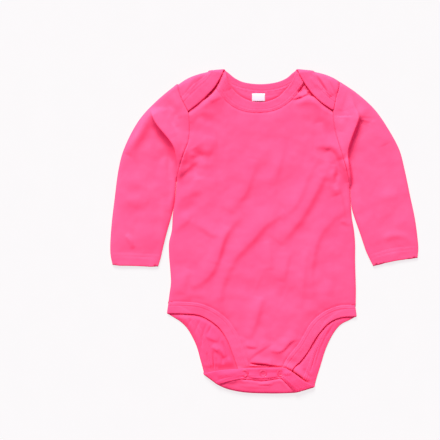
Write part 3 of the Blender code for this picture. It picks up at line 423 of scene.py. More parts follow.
def nearCrease(plan, crease):
    # the points in reach of a crease, and for each its distance past the crest, the crease's strength,
    # the direction to its left and how much wider its fall is there
    path, height, steep, soft = crease[:4]
    line = smoothLine(path, spacing=3)
    reach = folds["reach"] * max(crease[2:4])
    near = ((plan > line.min(0) - reach) & (plan < line.max(0) + reach)).all(1)
    if not near.any():
        return near, None, None, None, None
    distance, side, along = nearestOn(plan[near], line)
    whole = lengthAlong(line)
    taper, wide = np.clip(np.sin(np.pi * along / whole[-1]), 0, 1) ** folds["endTaper"], 1
    if len(crease) > 4:
        grow, fade, wideUntil = crease[7:]
        taper = ease(along / grow) * ease((whole[-1] - along) / fade)
        if wideUntil:
            wide = 1 + folds["wideFall"] * (1 - ease((along - wideUntil) / folds["narrowing"]))
    run = np.gradient(line, axis=0)
    left = np.column_stack([-run[:, 1], run[:, 0]]) / np.linalg.norm(run, axis=1)[:, None]
    left = np.column_stack([np.interp(along, whole, column) for column in left.T])
    crest = folds["tuckCrest"] if len(crease) > 4 else folds["crestShare"] * steep if height > 0 else 0
    return near, distance * side + crest, taper, left, wide


def creaseHeight(plan, creases):
    total = np.zeros(len(plan))
    for crease in creases:
        near, away, taper, _, wide = nearCrease(plan, crease)
        if not near.any():
            continue
        height, steep, soft, *tuck = crease[1:]
        if tuck:
            steep = steep * (folds["steepLeast"] + (1 - folds["steepLeast"]) * taper)
            soft = soft * (folds["softLeast"] + (1 - folds["softLeast"]) * taper)
        rise = height * np.exp(-((away / np.where(away > 0, steep, soft)) ** 2))
        if tuck:
            past = np.where(away > 0, away, 0)
            bend = folds["crestRound"]
            fall = np.exp((bend - np.sqrt(past**2 + bend**2)) / (steep * wide))   # steepest by the crest
            rise = height * np.where(away > 0, fall, np.exp(-((away / soft) ** 2)))
            hollow = np.exp(-((past / tuck[1]) ** 2)) * (1 - np.exp(-((past / steep) ** 2)))
            rise -= tuck[2] / wide * hollow
        total[near] += rise * taper
    return total


def tuckShift(plan, tucks):
    # the crest of a tuck moves over its steep side, so that the cloth hangs over itself
    shift = np.zeros((len(plan), 2))
    for tuck in tucks:
        near, away, taper, left, wide = nearCrease(plan, tuck)
        if near.any():
            soft, lean = tuck[3:5]
            share = np.exp(-((away / np.where(away > 0, folds["tuckLip"], soft)) ** 2)) * taper
            shift[near] += lean * (share / wide)[:, None] * left
    return shift


def seamDraw(plan, line, depth, puff, pucker, pitch, seed):
    # a sewn line sinks into the cloth, which puffs up beside it and draws in small puckers across it
    distance, _, along = nearestOn(plan, line)
    groove = depth * np.exp(-((distance / seamShape["grooveWidth"]) ** 2))
    shape = puff * np.exp(-(((distance - seamShape["puffAt"]) / seamShape["puffWidth"]) ** 2)) - groove
    near = distance < seamShape["reach"]
    waves = np.zeros(len(plan))
    waves[near] = [noise.noise(Vector((a / pitch, d / seamShape["puckerLength"], seed)))
                   for a, d in zip(along[near], distance[near])]
    return pucker * waves * np.exp(-distance / seamShape["puckerFade"]) + shape


def seamsDrawn(plan, lines, shape):
    *drawn, seed = shape
    return sum(seamDraw(plan, line, *drawn, seed + number) for number, line in enumerate(lines))


def freeSide(rows):
    return rows[:, :2]


def seamSide(rows):
    return rows[:, 2:]


coarse = 5.0   # spacing of the lines that are only measured against
# how each kind of seam draws the cloth: depth, puff, pucker, pitch of the puckers, seed
seams = {
    "armhole": (0.35, 0, 0.5, 6.5, 20),
    "front": (0.35, 0.12, 0.5, 6, 30),
    "tab": (0.6, 0.3, 0.35, 5, 40),
}
unevenness = [(0.7, 34, 3.1), (0.4, 17, 5.2), (0.15, 8, 7.7)]   # height, size, seed
flapCovers = [
    np.vstack([freeSide(smoothLine(flapBand[side], spacing=coarse)),
               smoothLine(shoulderFold[side], spacing=coarse), armhole[side][:1]])
    for side in ("right", "left")
]
tabCover = np.vstack([
    freeSide(smoothLine(tabSide["right"], spacing=coarse)), freeSide(smoothLine(tabEnd, spacing=coarse)),
    freeSide(smoothLine(tabSide["left"], spacing=coarse))[::-1], smoothLine(bottomFold, spacing=coarse)[::-1],
])
closedEdges = [smoothLine(lines[side], spacing=coarse)
               for lines in (sleeveOuter, sleeveInner, bodySide, shoulderFold) for side in ("right", "left")]
bodyEdges = closedEdges[4:]   # the sides and the shoulder folds
openEdges = [freeSide(smoothLine(rows, spacing=coarse)) for rows in (*legFront.values(), frontNeckBand)]
openEdges += [np.array([sleeveOuter[side][-1], sleeveInner[side][-1]], float) for side in ("right", "left")]
armholeLines = [smoothLine(armhole[side], spacing=coarse) for side in ("right", "left")]
upperCreases = bodyCreases + armholeCreases
for side in ("right", "left"):
    upperCreases = upperCreases + sleeveCreases[side] + sleeveTucks[side]
backBindings = []
for rows in (*legBack.values(), backNeckBand):
    line = smoothLine(rows, spacing=coarse)
    backBindings.append(np.vstack([freeSide(line), seamSide(line)[::-1]]))
sleeveHem = {
    "stitches": (11.5, 14.5), "rise": 0.8, "groove": 0.7, "grooveWidth": 0.9,
    "sag": {"right": 0.7, "left": 2.4},
    "deep": 13.0, "foldAt": 13.5, "foldFade": 3, "reach": 26, "beyond": 120, "margin": 3,
    "upperFrom": 2.6, "lipFade": 6,
}


def wristFrame(side):
    # the inner end of the wrist, the direction across it, its width, and the direction up the sleeve
    inner, outer = (np.array(lines[side][-1], float) for lines in (sleeveInner, sleeveOuter))
    wide = np.linalg.norm(outer - inner)
    run = (outer - inner) / wide
    up = np.array([-run[1], run[0]])
    return inner, run, wide, up if up[1] > 0 else -up


def hemRise(plan):
    # the turned-in hem makes the wrist thicker, and two rows of stitches press into it
    rise = np.zeros(len(plan))
    for side, sign in (("right", -1), ("left", 1)):
        inner, run, wide, up = wristFrame(side)
        depth, across = (plan - inner) @ up, (plan - inner) @ run
        depth = depth - sleeveHem["sag"][side] * np.sin(np.pi * np.clip(across / wide, 0, 1))
        here = plan[:, 0] * sign > sleeveHem["beyond"]
        here &= (depth < sleeveHem["reach"]) & (across > -sleeveHem["margin"])
        shape = sleeveHem["rise"] * (1 - ease((depth - sleeveHem["foldAt"]) / sleeveHem["foldFade"]))
        for row in sleeveHem["stitches"]:
            shape -= sleeveHem["groove"] * np.exp(-(((depth - row) / sleeveHem["grooveWidth"]) ** 2))
        rise[here] += shape[here]
    return rise


def leastLevel(edge):
    # the lowest that an upper layer can lie, by the distance from the closed edges
    return stack["edgeMid"] + (stack["frontMid"] - stack["edgeMid"]) * roundOver(edge, stack["edgeRound"])


def topLevel(plan):
    # the uppermost layer nearly everywhere: front, flaps and the upper walls of the sleeves
    edge, rest = nearestOf(plan, closedEdges), nearestOf(plan, openEdges)
    raised = coveredBy(plan, flapCovers, stack["shoulderFade"])
    loose = 1 - stack["restShare"] * np.exp(-((rest / stack["restReach"]) ** 2))
    rise = (stack["edgeRise"] * loose + stack["shoulderRaise"] * raised) * roundOver(edge, stack["edgeRound"])
    air = stack["air"] * loose * (1 - np.exp(-edge / stack["airReach"]))
    soft = creaseHeight(plan, upperCreases)
    for height, size, seed in unevenness:
        soft += height * crumple(plan, size, seed)
    soft += rumpleHeight(plan) + hemRise(plan)
    level = stack["edgeMid"] + rise + air + soft * (1 - np.exp(-edge / stack["softReach"]))
    return np.maximum(level + seamsDrawn(plan, armholeLines, seams["armhole"]), leastLevel(edge))


frontSeams = [seamSide(smoothLine(rows, spacing=coarse))
              for rows in (frontNeckBand, *legFront.values(), frontEnd)]


def frontBase(plan):
    flaps = coveredBy(plan, flapCovers, stack["overlapFade"])
    level = topLevel(plan) - stack["flapSink"] * flaps + creaseHeight(plan, frontNeckCreases)
    return np.maximum(level, leastLevel(nearestOf(plan, bodyEdges)))


def underTab(plan, level):
    tab = coverOf(plan, tabCover, stack["tabFade"])
    return level * (1 - tab) + stack["tabFloor"] * tab


def frontLevel(plan):
    level = frontBase(plan) + creaseHeight(plan, slitCrease)
    return underTab(plan, level + seamsDrawn(plan, frontSeams, seams["front"]))


def frontBindingLevel(plan):
    over = coveredBy(plan, backBindings, 4.0)
    least = stack["frontBindingMid"] + stack["overBinding"] * over
    return underTab(plan, np.maximum(frontBase(plan) + 0.15, least) + creaseHeight(plan, bindingCreases))


# the front bulges over the tab's edge and leaves a dark slit there
slitCrease = [
    ([(10, -169.5), (4, -169), (-2, -168.4), (-8, -167.8), (-17, -167.2)], 1.7, 1.3, 8),
    ([(6, -169.4), (-1, -168.8), (-9, -168.3), (-18, -167.4)], -3.6, 1.3, 1.3),
    ([(17, -170.6), (10, -170), (2, -169.2), (-6, -168.6)], -1.6, 0.8, 0.8),
]


def flapLevel(plan):
    return topLevel(plan) + creaseHeight(plan, flapCreases)


def flapBindingLevel(plan):
    return flapLevel(plan) + 0.3


# what shows of the back through an opening: edge of the front, edge of the back, how much the back
# puffs up between them, and how fast it does so beside each of the two
openings = []
for frontRows, backRows, puff, near, far in ((legFront["right"], legBack["right"], 2.3, 6, 6),
                                             (legFront["left"], legBack["left"], 1.3, 5, 9),
                                             (frontNeckBand, backNeckBand, 1.2, 2.4, 8)):
    frontEdge, backEdge = (freeSide(smoothLine(rows, spacing=coarse)) for rows in (frontRows, backRows))
    openings.append((frontEdge, backEdge, puff, near, far))


def backPuff(plan):
    total = np.zeros(len(plan))
    for frontEdge, backEdge, puff, near, far in openings:
        joined = np.linalg.norm(frontEdge[-1] - backEdge[0]) < np.linalg.norm(frontEdge[-1] - backEdge[-1])
        inside = insideOf(plan, np.vstack([frontEdge, backEdge if joined else backEdge[::-1]]))
        rise = ease(distanceTo(plan, frontEdge) / near) * ease(distanceTo(plan, backEdge) / far)
        total += puff * rise * inside
    return total * (1 - coverOf(plan, tabCover, 10))


def backRise(plan):
    return np.maximum(backPuff(plan) + creaseHeight(plan, backCreases), 0)


def backLevel(plan):
    return stack["backMid"] + backRise(plan)


def backBindingLevel(plan):
    return stack["backBindingMid"] + backRise(plan)


def lowerLevel(plan):
    return np.full(len(plan), stack["backMid"])


snap = {
    "places": [(-24.5, -179.3), (-1.5, -179.5), (20.5, -179.3)],
    "radius": 5.0, "height": 0.7, "studRadius": 4.0, "studHeight": 1.2, "sides": 48,
}
tabFoldLine = smoothLine([tabSide["right"][0][:2], *bottomFold, tabSide["left"][0][:2]], spacing=coarse)
tabSeams = [seamSide(smoothLine(rows, spacing=coarse)) for rows in (*tabSide.values(), tabEnd)]


def tabLevel(plan):
    distance = distanceTo(plan, tabFoldLine)
    level = stack["tabFoldMid"] + stack["tabRise"] * roundOver(distance, 4) + creaseHeight(plan, tabCreases)
    return level + stack["tabLift"] * ease(distance / stack["tabLiftReach"]) + 0.12 * crumple(plan, 9, 5.5)


def tabClothLevel(plan):
    return tabLevel(plan) + seamsDrawn(plan, tabSeams, seams["tab"])


def tabBindingLevel(plan):
    dents = np.zeros(len(plan))
    for place in snap["places"]:
        dents += 0.7 * np.exp(-((np.linalg.norm(plan - place, axis=1) / 6.2) ** 4))
    return tabLevel(plan) + 0.3 - dents


def plainSide(plan):
    return np.zeros(len(plan))   # 0 everywhere: no duller wrong side and no painted shade; 1 is the deepest tone for both


meshing = {
    "borderMargin": 0.8,                       # free points keep this far from the border
    "closedMargin": 5.2,                       # and from a closed edge, which has rows of its own
    "closedRows": (0.25, 0.8, 1.6, 2.8, 4.4),  # at these depths
}


class Cloth:
    # one cut piece: points in mm, faces, and where each point lies on the knit
    def __init__(self, name, grain=lambda plan: plan):
        self.name, self.grain = name, grain
        self.points, self.knit, self.faces = [], [], []
        # inside gives each point's deepened tone: the duller wrong side of the knit, and painted shade where the
        # cloth lies in shade
        self.inside, self.wrongSideAndShadeTones = plainSide, []

    def add(self, plan, heights):
        first = len(self.points)
        self.points.extend(np.column_stack([plan, heights]))
        self.knit.extend(self.grain(np.asarray(plan)))
        self.wrongSideAndShadeTones.extend(self.inside(np.asarray(plan)))
        return list(range(first, len(self.points)))

    def fill(self, edges, level, spacing, closed=(), patches=(), tucks=()):
        # fills the space inside the named edges; each patch is a border with a spacing of its own
        border = np.vstack([edge[:-1] for edge in edges.values()])
        ring = np.vstack([border, border[:1]])

        def hexes(step, around):
            low, high = around.min(0), around.max(0)
            return np.array([(x + (row % 2) * step / 2, y)
                             for row, y in enumerate(np.arange(low[1], high[1], step * 0.866))
                             for x in np.arange(low[0], high[0], step)])

        inner = hexes(spacing, border)
        for place, step in patches:
            place = np.array(place, float)
            inner = inner[~insideOf(inner, place)]
            finer = hexes(step, place)
            inner = np.vstack([inner, finer[insideOf(finer, place)]])
        inner = inner[insideOf(inner, border)]
        inner = inner[distanceTo(inner, ring) > meshing["borderMargin"]]
        for name in closed:
            inner = inner[distanceTo(inner, edges[name]) > meshing["closedMargin"]]
        for name in closed:
            for depth in meshing["closedRows"]:
                row = movedIn(edges[name], depth, border.mean(0))
                row = row[insideOf(row, border)]
                inner = np.vstack([inner, row[distanceTo(row, ring) > depth * 0.9]])
        plan = [Vector(p) for p in np.vstack([border, inner])]
        sides = [(i, (i + 1) % len(border)) for i in range(len(border))]
        found, _, triangles, origins, _, _ = delaunay_2d_cdt(plan, sides, [], 1, 1e-4)
        found = np.array([tuple(p) for p in found])
        index = self.add(found, level(found))
        if tucks:
            loose = ease(distanceTo(found, ring) / folds["seamEase"])
            for i, shift in zip(index, tuckShift(found, tucks) * loose[:, None]):
                self.points[i][:2] += shift
        self.faces.extend(tuple(index[i] for i in triangle) for triangle in triangles)
        place = {origin: index[i] for i, given in enumerate(origins) for origin in given}
        named, first = {}, 0
        for name, edge in edges.items():
            named[name] = [place[(first + i) % len(border)] for i in range(len(edge))]
            first += len(edge) - 1
        return named

    def strip(self, rows):
        for row, following in zip(rows, rows[1:]):
            self.faces.extend(zip(row, row[1:], following[1:], following))

    def turnUp(self, low, high):
        # quarter turn from the lower wall out and up to the widest line of the edge
        bottom, top = (np.array([self.points[i] for i in row]) for row in (low, high))
        rows = [low]
        for angle in np.radians([30, 60]):
            plan = bottom[:, :2] + (top[:, :2] - bottom[:, :2]) * math.sin(angle)
            rows.append(self.add(plan, bottom[:, 2] + (top[:, 2] - bottom[:, 2]) * (1 - math.cos(angle))))
        self.strip([*rows, high])

    def hem(self, edge, direction, deep, side):
        # the opening edge is turned in: over a small lip, then back inside the tube
        edge = [i for i in edge if side < 0 or self.points[i][2] > sleeveHem["upperFrom"]]
        line = np.array([self.points[i] for i in edge])
        ends = np.minimum(*(np.linalg.norm(line[:, :2] - line[end, :2], axis=1) for end in (0, -1)))
        share = ease(ends / sleeveHem["lipFade"])[:, None]
        rows = [edge]
        for out, drop in ((0.35, 0.12), (0.55, 0.55), (0.35, 1.0), (-0.2, 1.12), (-deep / 2, 1.12),
                          (-deep, 1.12)):
            out = out * share if out > 0 else out
            rows.append(self.add(line[:, :2] + out * direction, line[:, 2] - side * drop))
        self.strip(rows)

    def build(self, wall, material):
        return makePiece(self.name, self.points, self.faces, material, self.knit, self.wrongSideAndShadeTones, wall)


def makePiece(name, points, faces, material, knit=None, tones=None, wall=0.0):
    # points and knit are in mm; the knit map and the tones of the duller wrong side and of painted shade are for
    # cloth only
    mesh = bpy.data.meshes.new(name)
    mesh.from_pydata((np.array(points) * mm).tolist(), [], faces)
    if knit is not None:
        corners = np.empty(len(mesh.loops), int)
        mesh.loops.foreach_get("vertex_index", corners)
        mesh.uv_layers.new(name="knit").data.foreach_set("uv", (np.array(knit) * mm)[corners].ravel())
        # the deepened tone, partly the duller wrong side of the knit and partly painted shade
        mesh.attributes.new("inside", "FLOAT", "POINT").data.foreach_set("value", tones)
    mesh.materials.append(material)
    return finishMesh(mesh, name, wall)


def finishMesh(mesh, name, wall=0.0):
    shape = bmesh.new()
    shape.from_mesh(mesh)
    bmesh.ops.remove_doubles(shape, verts=shape.verts, dist=1e-6)
    bmesh.ops.recalc_face_normals(shape, faces=shape.faces)
    shape.to_mesh(mesh)
    shape.free()
    piece = bpy.data.objects.new(name, mesh)
    bpy.context.scene.collection.objects.link(piece)
    if wall:
        thick = piece.modifiers.new("wall", "SOLIDIFY")
        thick.thickness = wall * mm
        thick.offset = 0
        thick.use_even_offset = True
        thickened = piece.evaluated_get(bpy.context.evaluated_depsgraph_get())
        dressed = bpy.data.meshes.new_from_object(thickened)
        piece.modifiers.clear()
        piece.data = dressed
    piece.data.shade_smooth()
    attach(piece, "root")
    return piece


# across a binding, from its free edge to its seam: share of the width and half thickness in mm
bindingSection = np.array([
    (0.0, 0.0), (0.006, 0.3), (0.022, 0.55), (0.05, 0.78), (0.085, 0.9), (0.14, 0.95), (0.24, 0.95),
    (0.34, 0.94), (0.44, 0.94), (0.53, 0.94), (0.60, 0.92), (0.645, 0.86), (0.68, 0.64), (0.715, 0.86),
    (0.77, 0.92), (0.82, 0.84), (0.86, 0.58), (0.90, 0.72), (0.94, 0.56), (0.975, 0.36), (1.0, 0.16),
])
stitchShares = (0.68, 0.86)


def bandGrid(rows, level, away=0.0, start=None, end=None):
    # middle surface of a stretch of binding; stations nearer than away to a folded end are left out
    rows = smoothLine(rows, spacing=1.7)
    middle = (freeSide(rows) + seamSide(rows)) / 2
    keep = np.ones(len(rows), bool)
    for station in (start, end):
        if station is not None:
            keep &= np.linalg.norm(middle - (station[:2] + station[2:]) / 2, axis=1) > away
    rows = rows[keep]
    shares = bindingSection[:, 0][None, :, None]
    plan = rows[:, None, :2] * (1 - shares) + rows[:, None, 2:] * shares
    heights = level(plan.reshape(-1, 2)).reshape(plan.shape[:2])
    return np.dstack([plan, heights])


def foldOut(station, centre):
    run = station[2:] - station[:2]
    normal = np.array([-run[1], run[0]]) / np.linalg.norm(run)
    return normal if ((station[:2] + station[2:]) / 2 - centre) @ normal > 0 else -normal


def foldGrid(first, last, outward, bulge):
    # rounds the binding over from one layer to the other
    turned = []
    for angle in np.linspace(0, math.pi, 12)[1:-1]:
        share = (1 - math.cos(angle)) / 2
        row = first * (1 - share) + last * share
        row[:, :2] += outward * bulge * math.sin(angle)
        turned.append(row)
    return np.array(turned)


def bandPiece(name, grid, material, rumple=0.12, sunkEnds=0.0, inside=plainSide):
    # a folded strip from its middle surface and the half thickness across it; rumple is the height
    # of the small wrinkles along it, and sunk ends dive into the strips that they meet
    # inside gives the strip's painted shade, deepest where it lies in shade
    waves = np.array([[noise.noise(Vector((i * 0.22, j * 0.08, 9.1))) for j in range(grid.shape[1])]
                      for i in range(len(grid))])
    ribs = np.array([[noise.noise(Vector((i * 0.06, share * 8, 3.7))) for share in bindingSection[:, 0]]
                     for i in range(len(grid))])
    grid[..., 2] += (0.22 * waves + rumple * ribs) * np.sin(np.pi * np.clip(bindingSection[:, 0] * 1.1, 0, 1))
    grid[[0, -1], :, 2] -= sunkEnds
    down, over = np.gradient(grid, axis=0), np.gradient(grid, axis=1)
    normal = np.cross(down, over)
    normal /= np.linalg.norm(normal, axis=2)[..., None]
    if normal[len(normal) // 2, :, 2].mean() < 0:
        normal = -normal
    depth = bindingSection[:, 1][None, :, None]
    upper, lower = grid + normal * depth, grid - normal * depth
    count, columns = grid.shape[:2]
    along = lengthAlong(grid[:, columns // 2])
    width = np.linalg.norm(grid[:, -1] - grid[:, 0], axis=1)
    knit = np.dstack([np.repeat(along[:, None], columns, 1), bindingSection[:, 0][None] * width[:, None]])
    points = np.vstack([upper.reshape(-1, 3), lower.reshape(-1, 3)])
    index = np.arange(count * columns).reshape(count, columns)
    below = index + count * columns
    quads = lambda a: np.stack([a[:-1, :-1], a[:-1, 1:], a[1:, 1:], a[1:, :-1]], -1).reshape(-1, 4)
    faces = [*quads(index), *quads(below)]
    faces += [(a, b, d, c) for a, b, c, d in
              zip(index[:-1, -1], index[1:, -1], below[:-1, -1], below[1:, -1])]
    for end in (0, -1):
        faces += [(a, b, d, c) for a, b, c, d in
                  zip(index[end, 1:], index[end, 2:], below[end, 1:], below[end, 2:])]
        faces.append((index[end, 0], index[end, 1], below[end, 1]))
    piece = makePiece(name, points, [tuple(int(i) for i in face) for face in faces], material,
                      np.vstack([knit.reshape(-1, 2)] * 2), inside(points))
    lines = []
    for share in stitchShares:
        column = int(np.argmin(abs(bindingSection[:, 0] - share)))
        lines.append((upper[:, column], normal[:, column]))
    return piece, lines


stitch = {"length": 2.3, "gap": 0.7, "radius": 0.2, "flatness": 0.8, "bow": 0.12, "lift": 0.02, "first": 0.5}


def stitchPiece(name, lines, material):
    # one mesh of short rounded thread floats along the sewing lines
    around = np.linspace(0, 2 * math.pi, 6, endpoint=False)
    template = [(-0.5, 0, 0)]
    for place, size in ((-0.36, 0.8), (0, 1), (0.36, 0.8)):
        template += [(place, size * math.cos(a), size * math.sin(a)) for a in around]
    template = np.array([*template, (0.5, 0, 0)])
    tris = []
    for i in range(6):
        j = (i + 1) % 6
        tris += [(0, 1 + j, 1 + i), (19, 13 + i, 13 + j)]
        for ring in (1, 7):
            tris += [(ring + i, ring + j, ring + 6 + j), (ring + i, ring + 6 + j, ring + 6 + i)]
    points, faces = [], []
    for line, normal in lines:
        along = lengthAlong(line)
        for start in np.arange(stitch["first"], along[-1] - stitch["length"], stitch["length"] + stitch["gap"]):
            ends = [np.array([np.interp(t, along, c) for c in line.T])
                    for t in (start, start + stitch["length"] / 2, start + stitch["length"])]
            up = normal[int(np.argmin(abs(along - start)))]
            run = ends[2] - ends[0]
            side = np.cross(up, run / np.linalg.norm(run))
            bow = stitch["bow"] * (1 - (2 * template[:, :1]) ** 2) + stitch["lift"]
            place = ends[1] + template[:, :1] * run + template[:, 1:2] * stitch["radius"] * side
            place = place + (template[:, 2:] * stitch["radius"] * stitch["flatness"] + bow) * up
            faces.extend(tuple(i + len(points) for i in tri) for tri in tris)
            points.extend(place)
    return makePiece(name, points, faces, material)


# finishes
def newGroup(name, inputs, outputs):
    group = bpy.data.node_groups.new(name, "ShaderNodeTree")
    for socket, kind, value in inputs:
        made = group.interface.new_socket(name=socket, in_out="INPUT", socket_type=kind)
        if value is not None:
            made.default_value = value
    for socket, kind in outputs:
        group.interface.new_socket(name=socket, in_out="OUTPUT", socket_type=kind)
    return group, group.nodes.new("NodeGroupInput"), group.nodes.new("NodeGroupOutput")


def setInput(tree, socket, value):
    # links the socket to another one, or sets its value
    if isinstance(value, bpy.types.NodeSocket):
        tree.links.new(value, socket)
    else:
        socket.default_value = value


def addNode(tree, kind, inputs=None, **settings):
    node = tree.nodes.new("ShaderNode" + kind)
    for name, value in settings.items():
        setattr(node, name, value)
    for name, value in (inputs or {}).items():
        setInput(tree, node.inputs[name], value)
    return node


def calc(tree, operation, *values):
    node = addNode(tree, "Math", operation=operation)
    for socket, value in zip(node.inputs, values):
        setInput(tree, socket, value)
    return node.outputs[0]


def noiseOver(tree, scale, detail=2.0):
    place = addNode(tree, "TexCoord").outputs["Object"]
    return addNode(tree, "TexNoise", {"Scale": scale, "Detail": detail, "Vector": place}).outputs[0]


def twoTones(tree, low, high, factor):
    inputs = {"A": (*low, 1), "B": (*high, 1), "Factor": factor}
    return addNode(tree, "Mix", inputs, data_type="RGBA").outputs["Result"]


def bumpFrom(tree, height, strength, distance):
    inputs = {"Strength": strength, "Distance": distance, "Height": height}
    return addNode(tree, "Bump", inputs).outputs["Normal"]


def newMaterial(name):
    material = bpy.data.materials.new(name)
    material.use_nodes = True
    return material, material.node_tree


def shadeWith(material, inputs):
    shader = material.node_tree.nodes["Principled BSDF"]
    for name, value in inputs.items():
        setInput(material.node_tree, shader.inputs[name], value)
    return material


def makeKnitGroup():
    # face side of a single jersey: columns of small V stitches, seen on a map that is in metres
    group, given, result = newGroup(
        "jerseyKnit",
        [("Map", "NodeSocketVector", None), ("Wale", "NodeSocketFloat", 0.0009),
         ("Course", "NodeSocketFloat", 0.0008), ("Unevenness", "NodeSocketFloat", 0.5)],
        [("Height", "NodeSocketFloat"), ("Tone", "NodeSocketFloat")],
    )
    split = addNode(group, "SeparateXYZ", {"Vector": given.outputs["Map"]})
    column = calc(group, "FRACT", calc(group, "DIVIDE", split.outputs[0], given.outputs["Wale"]))
    leg = calc(group, "ABSOLUTE", calc(group, "SUBTRACT", calc(group, "MULTIPLY", column, 2.0), 1.0))
    along = calc(group, "DIVIDE", split.outputs[1], given.outputs["Course"])
    slant = calc(group, "ADD", along, calc(group, "MULTIPLY", leg, 0.55))
    loop = calc(group, "SINE", calc(group, "MULTIPLY", slant, 2 * math.pi))
    ridge = calc(group, "SINE", calc(group, "MULTIPLY", leg, math.pi))
    stitches = calc(group, "MULTIPLY", ridge, calc(group, "ADD", calc(group, "MULTIPLY", loop, 0.22), 0.78))
    fibre = calc(group, "MULTIPLY", noiseOver(group, 1900), 0.3)
    height = calc(group, "ADD", calc(group, "MULTIPLY", stitches, 0.7), fibre)
    patch = calc(group, "SUBTRACT", noiseOver(group, 55, 3), 0.5)
    mottle = calc(group, "MULTIPLY", patch, given.outputs["Unevenness"])
    # stitch tops lighter and the gaps between them darker by their height: painted shade, plus random mottle
    tone = calc(group, "ADD", calc(group, "ADD", calc(group, "MULTIPLY", height, 0.35), 0.33), mottle)
    group.links.new(height, result.inputs["Height"])
    group.links.new(tone, result.inputs["Tone"])
    return group


knitGroup = makeKnitGroup()
pink = {"shade": (0.88, 0.068, 0.180), "face": (0.94, 0.119, 0.249)}
# the sleeves use the body's jersey made a little lighter: painted light
sleevePinkBrightened = {**pink, "face": (0.94, 0.131, 0.266)}
knitLook = {
    "wale": 0.0009, "course": 0.0008, "relief": 0.35, "unevenness": 0.5, "roughness": 0.9, "sheen": 0.06,
    # the last tint deepens the colour for the duller wrong side of the knit and for painted shade
    "depth": 0.0003, "wrongSideAndShade": (0.98, 0.75, 0.86),
}
ribLook = {**knitLook, "wale": 0.0012, "relief": 0.45}


def clothMaterial(name, colour=pink, look=knitLook):
    material, tree = newMaterial(name)
    grain = addNode(tree, "UVMap", uv_map="knit").outputs["UV"]
    inputs = {"Map": grain, "Wale": look["wale"], "Course": look["course"], "Unevenness": look["unevenness"]}
    knit = addNode(tree, "Group", inputs, node_tree=knitGroup)
    # the colour is deepened by the inside tone: the duller wrong side of the knit, and painted shade
    inputs = {
        "A": twoTones(tree, colour["shade"], colour["face"], knit.outputs["Tone"]),
        "B": (*look["wrongSideAndShade"], 1),
        "Factor": addNode(tree, "Attribute", attribute_name="inside").outputs["Fac"],
    }
    dulledAndShaded = addNode(tree, "Mix", inputs, data_type="RGBA", blend_type="MULTIPLY")
    return shadeWith(material, {
        "Base Color": dulledAndShaded.outputs["Result"],
        "Normal": bumpFrom(tree, knit.outputs["Height"], look["relief"], look["depth"]),
        "Roughness": look["roughness"], "Specular IOR Level": look["sheen"],
    })


def threadMaterial():
    material, tree = newMaterial("pink sewing thread")
    ply = noiseOver(tree, 2600)
    return shadeWith(material, {
        "Base Color": twoTones(tree, (0.80, 0.045, 0.14), (0.95, 0.09, 0.24), ply),
        "Normal": bumpFrom(tree, ply, 0.3, 0.0001), "Roughness": 0.6,
    })


def enamelMaterial():
    material, tree = newMaterial("enamelled snap pink")
    # the enamel's colour and gloss vary in random patches
    randomPatches = noiseOver(tree, 300, 4)
    gloss = addNode(tree, "MapRange", {"To Min": 0.5, "To Max": 0.65, "Value": randomPatches})
    return shadeWith(material, {
        "Base Color": twoTones(tree, (0.46, 0.014, 0.065), (0.86, 0.06, 0.18), randomPatches),
        "Roughness": gloss.outputs["Result"],
    })


def tapeMaterial():
    material, tree = newMaterial("white woven tape")
    grain = addNode(tree, "UVMap", uv_map="knit").outputs["UV"]
    weave = addNode(tree, "TexWave", {"Scale": 900, "Distortion": 0.4, "Vector": grain}, bands_direction="Y")
    return shadeWith(material, {
        "Base Color": twoTones(tree, (0.60, 0.63, 0.62), (0.68, 0.71, 0.70), weave.outputs["Fac"]),
        "Normal": bumpFrom(tree, weave.outputs["Fac"], 0.25, 0.0001), "Roughness": 0.55,
    })


bodyJersey = clothMaterial("hot pink jersey, body")
backJersey = clothMaterial("hot pink jersey, back")
sleeveJersey = clothMaterial("hot pink jersey, sleeves", sleevePinkBrightened)
neckRib = clothMaterial("hot pink rib, neck", look=ribLook)
legRib = clothMaterial("hot pink rib, legs", look=ribLook)
crotchRib = clothMaterial("hot pink rib, crotch", look=ribLook)
thread = threadMaterial()
enamel = enamelMaterial()
tape = tapeMaterial()
print("finishes made")

tuck = 2.4   # how far a panel's raw edge reaches into its binding
# painted shade on the tab's bindings, as a share of the deepened tone
tabBindingShade = 0.9
# how far inside its drawn line each edge of the cloth runs
inset = {"side": 0.5, "underside": 1.5, "shoulder": 0.5, "backShoulder": 1.5, "frontShoulder": 3.0,
         "armhole": 0.02, "fold": 1.8, "tubeUnderside": 1.0}
# spacing of the points in each part of the cloth
spacings = {"front": 1.7, "back": 4, "flap": 1.3, "tab": 1.1, "sleeve": 1.8, "sleeveUnderside": 3.0}


def rawEdge(rows, towards):
    return movedIn(seamSide(smoothLine(rows)), -tuck, towards)


def armholeBelow(side, top):
    hole = movedIn(smoothLine(armhole[side]), inset["armhole"], (0, 120))
    return hole[hole[:, 1] < top]


def panelRing(neck, shoulders, holes, sides, legs, low):
    # the border of a panel, from the neck down its left side and up its right side
    runs = {"Shoulder": shoulders, "Armhole": holes, "Side": sides, "Leg": legs}
    ring = {"neck": neck, **{"left" + name: lines["left"] for name, lines in runs.items()}, "low": low[::-1]}
    for name in reversed(runs):
        ring["right" + name] = runs[name]["right"][::-1]
    return ring


